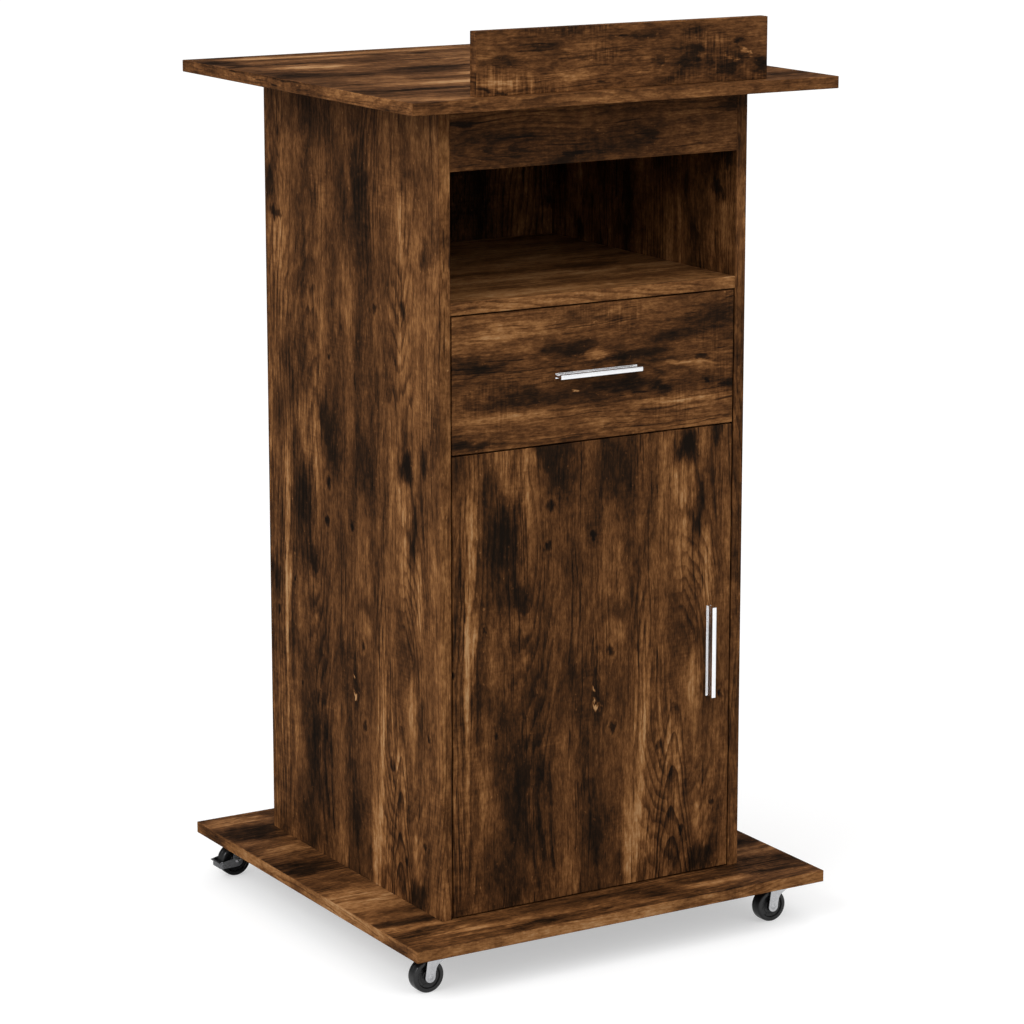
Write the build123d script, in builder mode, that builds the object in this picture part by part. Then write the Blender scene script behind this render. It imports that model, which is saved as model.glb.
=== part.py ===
from build123d import *
from math import cos, radians, sin, sqrt
import os

# A rolling presentation lectern: a square base board on four swivel castors, a narrower
# cabinet with an open compartment, a drawer and a door, a flat top board and a stop board.
# Millimetres. The floor is z = 0, the speaker's side with the fronts faces -Y.

# ---- driving dimensions -------------------------------------------------------------
board = 15  # thickness of every decor board
edge_round = 0.8  # rounding along the edge banding
plate_side = 600  # base board and top board, both square
column_width = 440
column_front = -220
column_rear = 230
castor_height = 53
fascia_height = 79
compartment_height = 157
drawer_front_height = 168
door_height = 580
front_gap = 2  # shadow gap round the drawer front and the door
stop_width = 410
stop_height = 76
stop_inset = 18  # from the top board's front edge to the stop board's front face

# ---- levels and faces worked out from them ------------------------------------------
half_plate = plate_side / 2
base_top = castor_height + board
door_bottom = base_top + front_gap
door_top = door_bottom + door_height
drawer_front_bottom = door_top + front_gap
drawer_front_top = drawer_front_bottom + drawer_front_height
shelf_under = drawer_front_top + front_gap
shelf_top = shelf_under + board
fascia_bottom = shelf_top + compartment_height
column_top = fascia_bottom + fascia_height
top_board_top = column_top + board
outer = column_width / 2
inner = outer - board
back_face = column_rear - board
front_back = column_front + board
half_front = inner - front_gap
divider_front = column_front + 23
divider_under = door_top + front_gap / 2 - board / 2
divider_top = divider_under + board
panel_middle = inner + board / 2

# ---- fasteners -----------------------------------------------------------------------
cam_radius = 7.5
cam_depth = 12
cam_inset = 24  # from a board's end to its cam's centre
cam_bolt_radius = 3
cam_head_radius = 2.4
fit = 0.1  # clearance of a fastener in its bore
dowel_radius = 4
dowel_half = 14
base_screw_radius = 2.5
base_screw_head = 5
base_screw_length = 48
stop_screw_length = 44
head_sink = 3  # depth of the countersinks
blind_bore = 10  # depth of bores that stop inside a board

# ---- drawer box and roller slides ----------------------------------------------------
drawer_wall = 12
drawer_outer = 192.5  # half the box's width, leaving 12.5 mm a side for the slide
drawer_depth = 350
drawer_side_height = 110
drawer_bottom_thickness = 3
groove_depth = 5
slide_sheet = 1.2
slide_length = 350
slide_bottom = 665
roller_radius = 10
roller_width = 7
roller_bore = 2.55
axle_radius = 2.5
front_roller_y = -188
rear_roller_y = 132

# ---- bar handles ---------------------------------------------------------------------
handle_length = 118
handle_screw_spacing = 96
handle_depth = 15.5
handle_foot = 7  # width of the flange on the front
handle_grip = 6.2  # width of the outer bar
handle_web = 3
grip_thickness = 4
door_handle_x = 170

# ---- door hinges (single-pivot concealed hinges) -------------------------------------
pivot_in = 13  # from the door's edge to the hinge pins
pivot_deep = 6  # from the door's front face to the hinge pins
cup_in = 22.5
cup_radius = 17.5
cup_depth = 12.6
cup_wall = 0.8
cup_screw_radius = 1.6
cup_screw_length = 11
panel_screw_radius = 1.7  # hinge foot and slide screws in the side panels
panel_screw_bore = 12
hinge_inset = 95  # from the door's ends to the hinges' centres
hinge_pin_radius = 1.5
hinge_arm_height = 11
arm_reach = 19.5  # radius of the arm's bend round the hinge pin
arm_lean = 65  # degrees between the arm at the pin and the door's normal
arm_sheet = 2

# ---- castors -------------------------------------------------------------------------
castor_x = 254
castor_y = 260
castor_trail = 12
wheel_radius = 21
wheel_width = 17
castor_screw_radius = 1.8
castor_screw_length = 10
hub_width = 19.4
castor_axle_radius = 2.5
fork_inner = 10.2
fork_sheet = 1.8
fork_top = 47.4
fork_roof = 45.6
fork_crown = 16.5  # radius of the fork's roof round the swivel axis
leg_radius = 7
plate_x = 42
plate_y = 38
plate_sheet = 2
plate_hole_x = 32
plate_hole_y = 28
race_height = castor_height - plate_sheet - fork_top
ball_radius = 1.4
ball_circle = 11
ball_count = 14
lever_gap = 0.3
lever_sheet = 1.2
lever_reach = 25.5  # from the axle to the pedal web behind the tread

hinge_levels = (door_bottom + hinge_inset, door_top - hinge_inset)
handle_middle = drawer_front_bottom + drawer_front_height / 2
door_middle = door_bottom + door_height / 2
pivot = (-half_front + pivot_in, column_front + pivot_deep)
cup_x = -half_front + cup_in
castors = {
    "front_left": (-castor_x, -castor_y),
    "front_right": (castor_x, -castor_y),
    "rear_left": (-castor_x, castor_y),
    "rear_right": (castor_x, castor_y),
}
sides = {"left": -1, "right": 1}

os.makedirs("parts", exist_ok=True)


def keep(name, piece):
    """Labels a finished piece and writes it under its own name."""
    piece.part.label = name
    export_step(piece.part, f"parts/{name}.step")


def block(x, y, z, rounding=0.0):
    """Adds a block between two x, two y and two z places, with its edges rounded."""
    middle = ((x[0] + x[1]) / 2, (y[0] + y[1]) / 2, (z[0] + z[1]) / 2)
    with Locations(middle):
        made = Box(x[1] - x[0], y[1] - y[0], z[1] - z[0])
    if rounding:
        fillet(made.edges(), rounding)


def rods(plane, places, radius, length, mode=Mode.ADD):
    """Adds or cuts round bars from a plane along its normal."""
    with BuildSketch(plane) as ends:
        with Locations(*places):
            Circle(radius)
    extrude(ends.sketch, amount=length, mode=mode)


def drill(plane, places, radius, depth):
    """Bores into the material behind a plane."""
    rods(plane, places, radius, -depth, Mode.SUBTRACT)


def spread(low, high, count, margin):
    """Evenly spaced places between two ends, a margin in from each."""
    step = (high - low - 2 * margin) / (count - 1)
    return [low + margin + step * i for i in range(count)]


# ---- where the fasteners sit -----------------------------------------------------------
panel_fixings = spread(column_front, column_rear, 2, 60)
back_fixings = spread(-inner, inner, 2, 60)
base_fixings = [(s * panel_middle, y) for s in (-1, 1) for y in panel_fixings]
base_fixings += [(x, column_rear - board / 2) for x in back_fixings]
dowel_rows = spread(column_front, column_rear, 2, 105)
dowel_places = [(s * panel_middle, y) for s in (-1, 1) for y in dowel_rows]
top_cam_rows = spread(column_front, column_rear, 2, 40)
top_cam_level = column_top - cam_inset
stop_fixings = spread(-stop_width / 2, stop_width / 2, 3, 50)
stop_middle = -half_plate + stop_inset + board / 2
shelf_levels = {
    "fascia": (fascia_bottom + fascia_height / 2, [column_front + board / 2]),
    "shelf": (shelf_under + board / 2, [column_front + 50, column_rear - 70]),
    "divider": (divider_under + board / 2, [divider_front + 40, column_rear - 70]),
}
# The fascia stands upright, so its cams sit in its back face, and the shelf's and the
# divider's in their undersides.
flat_cams = [
    (s * (inner - cam_inset), y, shelf_levels[name][0] - board / 2)
    for name in ("shelf", "divider")
    for y in shelf_levels[name][1]
    for s in (-1, 1)
]
fascia_cams = [
    (s * (inner - cam_inset), z)
    for s in (-1, 1)
    for z in (fascia_bottom + 20, column_top - 20)
]
back_cam_levels = [base_top + 120, base_top + 480, column_top - 40]
back_cams = [(s * (inner - cam_inset), z) for s in (-1, 1) for z in back_cam_levels]
side_bolts = [(y, shelf_levels[n][0]) for n in ("shelf", "divider") for y in shelf_levels[n][1]]
side_bolts += [(column_front + board / 2, z) for z in (fascia_bottom + 20, column_top - 20)]
side_bolts += [(column_rear - board / 2, z) for z in back_cam_levels]
cupboard_shelf_under = base_top + 285
pin_rows = [column_front + 90, back_face - 40]
pin_radius = 2.5
slide_screw_rows = [front_roller_y + 40, rear_roller_y + 11]  # clear of the drawer rollers' way
slide_screw_level = slide_bottom + 13
hinge_foot_rows = [pivot[1] + 36, pivot[1] + 52]
castor_screws = [
    (x + i * plate_hole_x / 2, y + j * plate_hole_y / 2)
    for x, y in castors.values()
    for i in (-1, 1)
    for j in (-1, 1)
]

# ---- cabinet boards --------------------------------------------------------------------
with BuildPart() as base_plate:
    block((-half_plate, half_plate), (-half_plate, half_plate), (castor_height, base_top), edge_round)
    drill(Plane.XY.offset(base_top), base_fixings, base_screw_radius + fit, board)
    drill(Plane.XY.offset(castor_height + head_sink), base_fixings, base_screw_head + fit, head_sink)
    drill(Plane.XY.offset(base_top), dowel_places, dowel_radius + fit, blind_bore)
    castor_bore = castor_screw_length + 1
    drill(Plane.XY.offset(castor_height + castor_bore), castor_screws, castor_screw_radius + fit, castor_bore)
keep("base_plate", base_plate)

with BuildPart() as top_plate:
    block((-half_plate, half_plate), (-half_plate, half_plate), (column_top, top_board_top), edge_round)
    top_bolts = [(s * panel_middle, y) for s in (-1, 1) for y in top_cam_rows]
    bored = Plane.XY.offset(column_top + blind_bore)
    drill(bored, top_bolts, cam_bolt_radius + fit, blind_bore)
    drill(bored, dowel_places, dowel_radius + fit, blind_bore)
    stop_bores = [(x, stop_middle) for x in stop_fixings]
    drill(Plane.XY.offset(top_board_top), stop_bores, base_screw_radius + fit, board)
    drill(Plane.XY.offset(column_top + head_sink), stop_bores, base_screw_head + fit, head_sink)
keep("top_plate", top_plate)

with BuildPart() as stop_board:
    stop_front = -half_plate + stop_inset
    block(
        (-stop_width / 2, stop_width / 2),
        (stop_front, stop_front + board),
        (top_board_top, top_board_top + stop_height),
        edge_round,
    )
    depth = stop_screw_length - board + 1
    drill(Plane.XY.offset(top_board_top + depth), stop_bores, base_screw_radius + fit, depth)
keep("stop_board", stop_board)

for side, s in sides.items():
    with BuildPart() as side_panel:
        faces = sorted((s * inner, s * outer))
        block(faces, (column_front, column_rear), (base_top, column_top), edge_round)
        inside = Plane.YZ.offset(s * inner)
        rods(inside, side_bolts, cam_bolt_radius + fit, s * 10, Mode.SUBTRACT)
        cam_mouths = [(y, top_cam_level) for y in top_cam_rows]
        rods(inside, cam_mouths, cam_radius + fit, s * cam_depth, Mode.SUBTRACT)
        pins = [(y, cupboard_shelf_under - pin_radius) for y in pin_rows]
        rods(inside, pins, pin_radius + fit, s * 9, Mode.SUBTRACT)
        slide_bores = [(y, slide_screw_level) for y in slide_screw_rows]
        rods(inside, slide_bores, panel_screw_radius + fit, s * panel_screw_bore, Mode.SUBTRACT)
        if side == "left":
            feet = [(y, z) for y in hinge_foot_rows for z in hinge_levels]
            rods(inside, feet, panel_screw_radius + fit, s * panel_screw_bore, Mode.SUBTRACT)
        upper = Plane.XY.offset(column_top)
        drill(upper, [(s * panel_middle, y) for y in top_cam_rows], cam_bolt_radius + fit, cam_inset)
        own_dowels = [(s * panel_middle, y) for y in dowel_rows]
        drill(upper, own_dowels, dowel_radius + fit, dowel_half + 5)
        lower = Plane.XY.offset(base_top)
        rods(lower, own_dowels, dowel_radius + fit, dowel_half + 5, Mode.SUBTRACT)
        own_screws = [(s * panel_middle, y) for y in panel_fixings]
        rods(lower, own_screws, base_screw_radius + fit, base_screw_length - board + 1, Mode.SUBTRACT)
    keep(f"{side}_side_panel", side_panel)


with BuildPart() as back_panel:
    block((-inner, inner), (back_face, column_rear), (base_top, column_top), edge_round)
    rods(Plane.XZ.offset(-back_face), back_cams, cam_radius + fit, -cam_depth, Mode.SUBTRACT)
    for s in (-1, 1):
        ends = [(column_rear - board / 2, z) for z in back_cam_levels]
        rods(Plane.YZ.offset(s * inner), ends, cam_bolt_radius + fit, -s * cam_inset, Mode.SUBTRACT)
    screws = [(x, column_rear - board / 2) for x in back_fixings]
    bore = base_screw_length - board + 1
    rods(Plane.XY.offset(base_top), screws, base_screw_radius + fit, bore, Mode.SUBTRACT)
keep("back_panel", back_panel)

with BuildPart() as fascia_rail:
    block((-inner, inner), (column_front, front_back), (fascia_bottom, column_top), edge_round)
    drill(Plane.XZ.offset(-front_back + cam_depth), fascia_cams, cam_radius + fit, cam_depth)
    for s in (-1, 1):
        ends = [(column_front + board / 2, z) for z in (fascia_bottom + 20, column_top - 20)]
        rods(Plane.YZ.offset(s * inner), ends, cam_bolt_radius + fit, -s * cam_inset, Mode.SUBTRACT)
keep("fascia_rail", fascia_rail)


def flat_board(name, front, under):
    """A board lying between the side panels, held by two cams at each end."""
    rows = shelf_levels[name][1]
    block((-inner, inner), (front, back_face), (under, under + board), edge_round)
    places = [(s * (inner - cam_inset), y) for y in rows for s in (-1, 1)]
    rods(Plane.XY.offset(under), places, cam_radius + fit, cam_depth, Mode.SUBTRACT)
    for s in (-1, 1):
        ends = [(y, under + board / 2) for y in rows]
        rods(Plane.YZ.offset(s * inner), ends, cam_bolt_radius + fit, -s * cam_inset, Mode.SUBTRACT)


with BuildPart() as compartment_shelf:
    flat_board("shelf", column_front, shelf_under)
keep("compartment_shelf", compartment_shelf)

with BuildPart() as drawer_divider:
    flat_board("divider", divider_front, divider_under)
keep("drawer_divider", drawer_divider)

with BuildPart() as cupboard_shelf:
    shelf_z = (cupboard_shelf_under, cupboard_shelf_under + board)
    block((-inner + 1, inner - 1), (column_front + 60, back_face - 1), shelf_z, edge_round)
keep("cupboard_shelf", cupboard_shelf)

with BuildPart() as shelf_pins:
    for s in (-1, 1):
        pins = [(y, cupboard_shelf_under - pin_radius) for y in pin_rows]
        rods(Plane.YZ.offset(s * (inner - 8)), pins, pin_radius, s * 16)
        rods(Plane.YZ.offset(s * (inner - 1.2)), pins, pin_radius + 1.4, s * 1.1)
        caps = [(s * (inner - 1), y) for y in pin_rows]
        with BuildSketch(Plane.XY.offset(cupboard_shelf_under)) as above:
            with Locations(*caps):
                Rectangle(4, 10)
        extrude(above.sketch, amount=2, mode=Mode.SUBTRACT)
keep("shelf_pins", shelf_pins)

# ---- cams, bolts, dowels and screws ------------------------------------------------------
# Each cam is a disc with a screwdriver cross in its open face and a radial bore in which
# its bolt's head is caught.
def cam_spot(place, into, outwards):
    """A cam's mouth as a plane facing into its board, and the way its bolt leaves."""
    across = (0, 1, 0) if into[0] else (1, 0, 0)
    return Plane(place, x_dir=across, z_dir=into), outwards


def sideways(x):
    """The way to the nearer side panel."""
    return (1 if x > 0 else -1, 0, 0)


cam_spots = [cam_spot((x, y, z), (0, 0, 1), sideways(x)) for x, y, z in flat_cams]
cam_spots += [cam_spot((x, front_back, z), (0, -1, 0), sideways(x)) for x, z in fascia_cams]
cam_spots += [cam_spot((x, back_face, z), (0, 1, 0), sideways(x)) for x, z in back_cams]
cam_spots += [
    cam_spot((s * inner, y, top_cam_level), (s, 0, 0), (0, 0, 1)) for s in (-1, 1) for y in top_cam_rows
]

with BuildPart() as cam_discs:
    for mouth, outwards in cam_spots:
        rods(mouth.offset(0.4), [(0, 0)], cam_radius, cam_depth - 0.4)
        with BuildSketch(mouth.offset(0.4)) as cross:
            Rectangle(9, 1.6)
            Rectangle(1.6, 9)
        extrude(cross.sketch, amount=2, mode=Mode.SUBTRACT)
        centre = mouth.origin + mouth.z_dir * (board / 2)
        rods(Plane(centre, z_dir=outwards), [(0, 0)], cam_bolt_radius + fit, cam_radius + 2, Mode.SUBTRACT)
keep("cam_discs", cam_discs)

with BuildPart() as cam_bolts:
    for mouth, outwards in cam_spots:
        centre = mouth.origin + mouth.z_dir * (board / 2)
        start = Plane(centre + Vector(outwards) * 1.5, z_dir=outwards)
        rods(start, [(0, 0)], cam_head_radius, cam_inset + 8)
        rods(start.offset(5), [(0, 0)], cam_bolt_radius, cam_inset + 3)
keep("cam_bolts", cam_bolts)

with BuildPart() as wood_dowels:
    for level in (base_top - 9, column_top - dowel_half - 4.5):
        rods(Plane.XY.offset(level), dowel_places, dowel_radius, 2 * dowel_half - 1)
keep("wood_dowels", wood_dowels)


def flat_head_screws(plane, places, radius, head_radius, length, drive=1.5):
    """Screws with a countersunk head flush with a plane and a hexagon drive."""
    rods(plane, places, radius, length)
    with BuildSketch(plane) as heads:
        with Locations(*places):
            Circle(head_radius)
    extrude(heads.sketch, amount=2.6)
    with BuildSketch(plane) as drives:
        with Locations(*places):
            RegularPolygon(drive + 0.6, 6)
    extrude(drives.sketch, amount=1.8, mode=Mode.SUBTRACT)


with BuildPart() as base_screws:
    flat_head_screws(
        Plane.XY.offset(castor_height + 0.2),
        base_fixings,
        base_screw_radius,
        base_screw_head,
        base_screw_length,
    )
keep("base_screws", base_screws)

with BuildPart() as stop_board_screws:
    flat_head_screws(
        Plane.XY.offset(column_top + 0.2),
        stop_bores,
        base_screw_radius,
        base_screw_head,
        stop_screw_length,
    )
keep("stop_board_screws", stop_board_screws)

# ---- drawer ------------------------------------------------------------------------------
drawer_low = slide_bottom + 6
drawer_high = drawer_low + drawer_side_height
drawer_end = front_back + drawer_depth
bottom_under = drawer_low + 8
bottom_over = bottom_under + drawer_bottom_thickness
box_inner = drawer_outer - drawer_wall
drawer_screw_levels = (drawer_low + 30, drawer_high - 20)
front_screw_x = drawer_outer - drawer_wall / 2

with BuildPart() as drawer_front:
    block(
        (-half_front, half_front),
        (column_front, front_back),
        (drawer_front_bottom, drawer_front_top),
        edge_round,
    )
    with BuildSketch(Plane.XZ.offset(-front_back)) as groove:
        with Locations((0, (bottom_under + bottom_over) / 2)):
            Rectangle(2 * (box_inner + groove_depth), drawer_bottom_thickness + 2 * fit)
    extrude(groove.sketch, amount=groove_depth, mode=Mode.SUBTRACT)
    handle_bores = [(s * handle_screw_spacing / 2, handle_middle) for s in (-1, 1)]
    rods(Plane.XZ.offset(-front_back), handle_bores, 2.2, board, Mode.SUBTRACT)
    bolt_bores = [(s * front_screw_x, z) for s in (-1, 1) for z in drawer_screw_levels]
    rods(Plane.XZ.offset(-front_back), bolt_bores, cam_bolt_radius + fit, 10, Mode.SUBTRACT)
keep("drawer_front", drawer_front)

for side, s in sides.items():
    with BuildPart() as drawer_side:
        faces = sorted((s * box_inner, s * drawer_outer))
        block(faces, (front_back, drawer_end), (drawer_low, drawer_high), edge_round)
        with BuildSketch(Plane.YZ.offset(s * box_inner)) as groove:
            with Locations(((front_back + drawer_end) / 2, (bottom_under + bottom_over) / 2)):
                Rectangle(drawer_depth, drawer_bottom_thickness + 2 * fit)
        extrude(groove.sketch, amount=s * groove_depth, mode=Mode.SUBTRACT)
        pockets = [(front_back + cam_inset, z) for z in drawer_screw_levels]
        rods(Plane.YZ.offset(s * box_inner), pockets, 6 + fit, s * 9, Mode.SUBTRACT)
        own_bolts = [(s * front_screw_x, z) for z in drawer_screw_levels]
        rods(Plane.XZ.offset(-front_back), own_bolts, cam_bolt_radius + fit, -cam_inset, Mode.SUBTRACT)
        back_bores = [(drawer_end - drawer_wall / 2, z) for z in drawer_screw_levels]
        rods(Plane.YZ.offset(s * box_inner), back_bores, 2 + fit, s * drawer_wall, Mode.SUBTRACT)
    keep(f"drawer_{side}_side", drawer_side)

with BuildPart() as drawer_back:
    back_y = (drawer_end - drawer_wall, drawer_end)
    block((-box_inner, box_inner), back_y, (bottom_over + fit, drawer_high), edge_round)
    for s in (-1, 1):
        ends = [(drawer_end - drawer_wall / 2, z) for z in drawer_screw_levels]
        rods(Plane.YZ.offset(s * box_inner), ends, 2 + fit, -s * 26, Mode.SUBTRACT)
keep("drawer_back", drawer_back)

with BuildPart() as drawer_bottom:
    reach = box_inner + groove_depth - 0.3
    depths = (front_back - groove_depth + 0.3, drawer_end)
    block((-reach, reach), depths, (bottom_under, bottom_over))
keep("drawer_bottom", drawer_bottom)

with BuildPart() as drawer_fittings:
    for s in (-1, 1):
        pockets = [(front_back + cam_inset, z) for z in drawer_screw_levels]
        rods(Plane.YZ.offset(s * (box_inner + 0.3)), pockets, 6, s * 8.7)
        for y, z in pockets:
            with BuildSketch(Plane.YZ.offset(s * (box_inner + 0.3))) as cross:
                with Locations((y, z)):
                    Rectangle(7, 1.4)
                    Rectangle(1.4, 7)
            extrude(cross.sketch, amount=s * 1.8, mode=Mode.SUBTRACT)
        own_bolts = [(s * front_screw_x, z) for z in drawer_screw_levels]
        inwards = Plane.XZ.offset(-front_back)
        rods(inwards, own_bolts, cam_bolt_radius - 0.2, -cam_inset)
        rods(inwards, own_bolts, cam_bolt_radius - 0.2, 9.5)
        screws = [(drawer_end - drawer_wall / 2, z) for z in drawer_screw_levels]
        rods(Plane.YZ.offset(s * (drawer_outer - 0.3)), screws, 2, -s * 34)
keep("drawer_fittings", drawer_fittings)


# ---- roller slides -----------------------------------------------------------------------
def slide_section(points, y_from, y_to):
    """A folded sheet section, given as (x, z) corners, running from front to rear."""
    with BuildSketch(Plane.XZ.offset(-y_from)) as section:
        with BuildLine():
            Polyline(*points, close=True)
        make_face()
    extrude(section.sketch, amount=-(y_to - y_from))


roller_mid = drawer_outer + (inner - drawer_outer) / 2
channel_top = slide_bottom + 2 * slide_sheet + 2 * roller_radius + 0.8
runner_under = channel_top + 1.3
front_roller_z = runner_under - roller_radius - 0.3
rear_roller_z = slide_bottom + slide_sheet + roller_radius + 0.3
slide_front = front_back + 5
slide_rear = slide_front + slide_length

for side, s in sides.items():
    with BuildPart() as runner_cabinet:
        wall = inner
        skin = inner - slide_sheet
        lip = drawer_outer + 2.5
        floor_z = slide_bottom + slide_sheet
        angle = [(wall, slide_bottom), (lip, slide_bottom), (lip, floor_z), (skin, floor_z)]
        angle += [(skin, channel_top), (wall, channel_top)]
        slide_section([(s * x, z) for x, z in angle], slide_front, slide_rear)
        roof = [(lip + 2, channel_top - slide_sheet), (wall, channel_top - slide_sheet)]
        roof += [(wall, channel_top), (lip + 2, channel_top)]
        slide_section([(s * x, z) for x, z in roof], front_roller_y + 18, slide_rear)
        inside = Plane.YZ.offset(s * skin)
        stud_end = skin - roller_mid + roller_width / 2
        rods(inside, [(front_roller_y, front_roller_z)], axle_radius, -s * (stud_end + 1.2))
        head = Plane.YZ.offset(s * (roller_mid - roller_width / 2 - 0.4))
        rods(head, [(front_roller_y, front_roller_z)], axle_radius + 1.4, -s * 0.8)
        rods(inside, [(y, slide_screw_level) for y in slide_screw_rows], 1.9, s * 2, Mode.SUBTRACT)
    keep(f"runner_cabinet_{side}", runner_cabinet)

    with BuildPart() as runner_drawer:
        web = drawer_outer + slide_sheet
        under = drawer_low - slide_sheet
        shape = [(box_inner + 1, under), (web, under), (web, runner_under), (inner - 4.5, runner_under)]
        shape += [(inner - 4.5, runner_under + slide_sheet), (drawer_outer, runner_under + slide_sheet)]
        shape += [(drawer_outer, drawer_low), (box_inner + 1, drawer_low)]
        slide_section([(s * x, z) for x, z in shape], slide_front, slide_rear)
        outside = Plane.YZ.offset(s * web)
        stud = roller_mid + roller_width / 2 + 1.2 - web
        rods(outside, [(rear_roller_y, rear_roller_z)], axle_radius, s * stud)
        head = Plane.YZ.offset(s * (roller_mid + roller_width / 2 + 0.3))
        rods(head, [(rear_roller_y, rear_roller_z)], axle_radius + 1.2, s * 0.9)
    keep(f"runner_drawer_{side}", runner_drawer)

with BuildPart() as runner_screws:
    for s in (-1, 1):
        inside = Plane.YZ.offset(s * (inner - slide_sheet))
        places = [(y, slide_screw_level) for y in slide_screw_rows]
        rods(inside, places, panel_screw_radius, s * panel_screw_bore)
        rods(inside, places, 3.4, -s * 1.4)
        with BuildSketch(Plane.YZ.offset(s * (inner - slide_sheet - 1.4))) as cross:
            with Locations(*places):
                Rectangle(4, 1)
                Rectangle(1, 4)
        extrude(cross.sketch, amount=s * 1, mode=Mode.SUBTRACT)
keep("runner_screws", runner_screws)


def roller_pair(y, z):
    """Two grooved nylon rollers on one line, one at each side of the drawer."""
    for s in (-1, 1):
        with BuildSketch(Plane.XY.offset(z)) as profile:
            with BuildLine():
                mid = s * roller_mid
                half = roller_width / 2
                Polyline(
                    (mid - half, y + roller_bore),
                    (mid - half, y + roller_radius - 0.8),
                    (mid - half + 0.8, y + roller_radius),
                    (mid + half - 0.8, y + roller_radius),
                    (mid + half, y + roller_radius - 0.8),
                    (mid + half, y + roller_bore),
                    close=True,
                )
            make_face()
        revolve(profile.sketch, axis=Axis((0, y, z), (1, 0, 0)))


with BuildPart() as cabinet_rollers:
    roller_pair(front_roller_y, front_roller_z)
keep("cabinet_rollers", cabinet_rollers)

with BuildPart() as drawer_rollers:
    roller_pair(rear_roller_y, rear_roller_z)
keep("drawer_rollers", drawer_rollers)


# ---- bar handles ---------------------------------------------------------------------------
def bar_section():
    """The handle's drawn aluminium section: a foot, a web and a rounded outer bar."""
    with BuildSketch() as section:
        with Locations((0, 1)):
            RectangleRounded(handle_foot, 2, 0.6)
        with Locations((0, handle_depth / 2)):
            Rectangle(handle_web, handle_depth - 2)
        with Locations((0, handle_depth - grip_thickness / 2)):
            RectangleRounded(handle_grip, grip_thickness, 1.4)
    return section.sketch


def bar_handle(section_plane, bore_plane, bore_places):
    """Draws the section to length and taps its two screw bores from the foot."""
    extrude(section_plane * bar_section(), amount=handle_length)
    drill(bore_plane, bore_places, 1.2, 11)


with BuildPart() as drawer_handle:
    start = Plane((-handle_length / 2, column_front, handle_middle), x_dir=(0, 0, 1), z_dir=(1, 0, 0))
    bar_handle(start, Plane.XZ.offset(-column_front + 11), handle_bores)
keep("drawer_handle", drawer_handle)

door_handle_bores = [(door_handle_x, door_middle + s * handle_screw_spacing / 2) for s in (-1, 1)]
with BuildPart() as door_handle:
    foot = (door_handle_x, column_front, door_middle - handle_length / 2)
    bar_handle(
        Plane(foot, x_dir=(-1, 0, 0), z_dir=(0, 0, 1)),
        Plane.XZ.offset(-column_front + 11),
        door_handle_bores,
    )
keep("door_handle", door_handle)


def handle_screws(places):
    """Machine screws from behind the front, with pan heads and a cross drive."""
    behind = Plane.XZ.offset(-front_back)
    rods(behind, places, 2, board)
    rods(behind, places, 1.15, board + 9)
    rods(behind, places, 4, -2.2)
    with BuildSketch(Plane.XZ.offset(-front_back - 2.2)) as cross:
        with Locations(*places):
            Rectangle(4.4, 1.1)
            Rectangle(1.1, 4.4)
    extrude(cross.sketch, amount=1.4, mode=Mode.SUBTRACT)


with BuildPart() as drawer_handle_screws:
    handle_screws(handle_bores)
keep("drawer_handle_screws", drawer_handle_screws)

with BuildPart() as door_handle_screws:
    handle_screws(door_handle_bores)
keep("door_handle_screws", door_handle_screws)

# ---- door and hinges -------------------------------------------------------------------------
cup_places = [(cup_x, z) for z in hinge_levels]
cup_screw_places = [(cup_x, z + i * 24) for z in hinge_levels for i in (-1, 1)]

with BuildPart() as door_panel:
    block(
        (-half_front, half_front),
        (column_front, front_back),
        (door_bottom, door_top),
        edge_round,
    )
    behind = Plane.XZ.offset(-front_back)
    rods(behind, cup_places, cup_radius + fit, cup_depth + fit, Mode.SUBTRACT)
    rods(behind, cup_screw_places, cup_screw_radius + fit, cup_screw_length, Mode.SUBTRACT)
    rods(behind, door_handle_bores, 2.2, board, Mode.SUBTRACT)
keep("door_panel", door_panel)

with BuildPart() as hinge_cups:
    behind = Plane.XZ.offset(-front_back)
    rods(behind, cup_places, cup_radius, cup_depth)
    with BuildSketch(behind) as flanges:
        with Locations(*cup_places):
            SlotCenterToCenter(48, 13, rotation=90)
            Circle(cup_radius + 1.5)
    extrude(flanges.sketch, amount=-1)
    crown = Plane.XZ.offset(-front_back - 1)
    rods(crown, cup_places, cup_radius - cup_wall, cup_depth + 1 - cup_wall, Mode.SUBTRACT)
    rods(crown, cup_screw_places, cup_screw_radius + 0.2, 1, Mode.SUBTRACT)
    pin_half = 13.6
    for z in hinge_levels:
        rods(Plane.XY.offset(z - pin_half), [pivot], hinge_pin_radius, 2 * pin_half, Mode.SUBTRACT)
keep("hinge_cups", hinge_cups)

with BuildPart() as hinge_pins:
    for z in hinge_levels:
        rods(Plane.XY.offset(z - 12.6), [pivot], hinge_pin_radius, 25.2)
keep("hinge_pins", hinge_pins)

with BuildPart() as hinge_cup_screws:
    rods(crown, cup_screw_places, cup_screw_radius, cup_screw_length)
    rods(crown, cup_screw_places, 2 * cup_screw_radius, -1.2)
    with BuildSketch(Plane.XZ.offset(-front_back - 2.2)) as cross:
        with Locations(*cup_screw_places):
            Rectangle(3.8, 0.9)
            Rectangle(0.9, 3.8)
    extrude(cross.sketch, amount=0.8, mode=Mode.SUBTRACT)
keep("hinge_cup_screws", hinge_cup_screws)


def around_pivot(radius, angle):
    """A point round the hinge pin, its angle counted from the door's normal."""
    turn = radians(angle)
    return (pivot[0] + radius * sin(turn), pivot[1] + radius * cos(turn))


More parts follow.
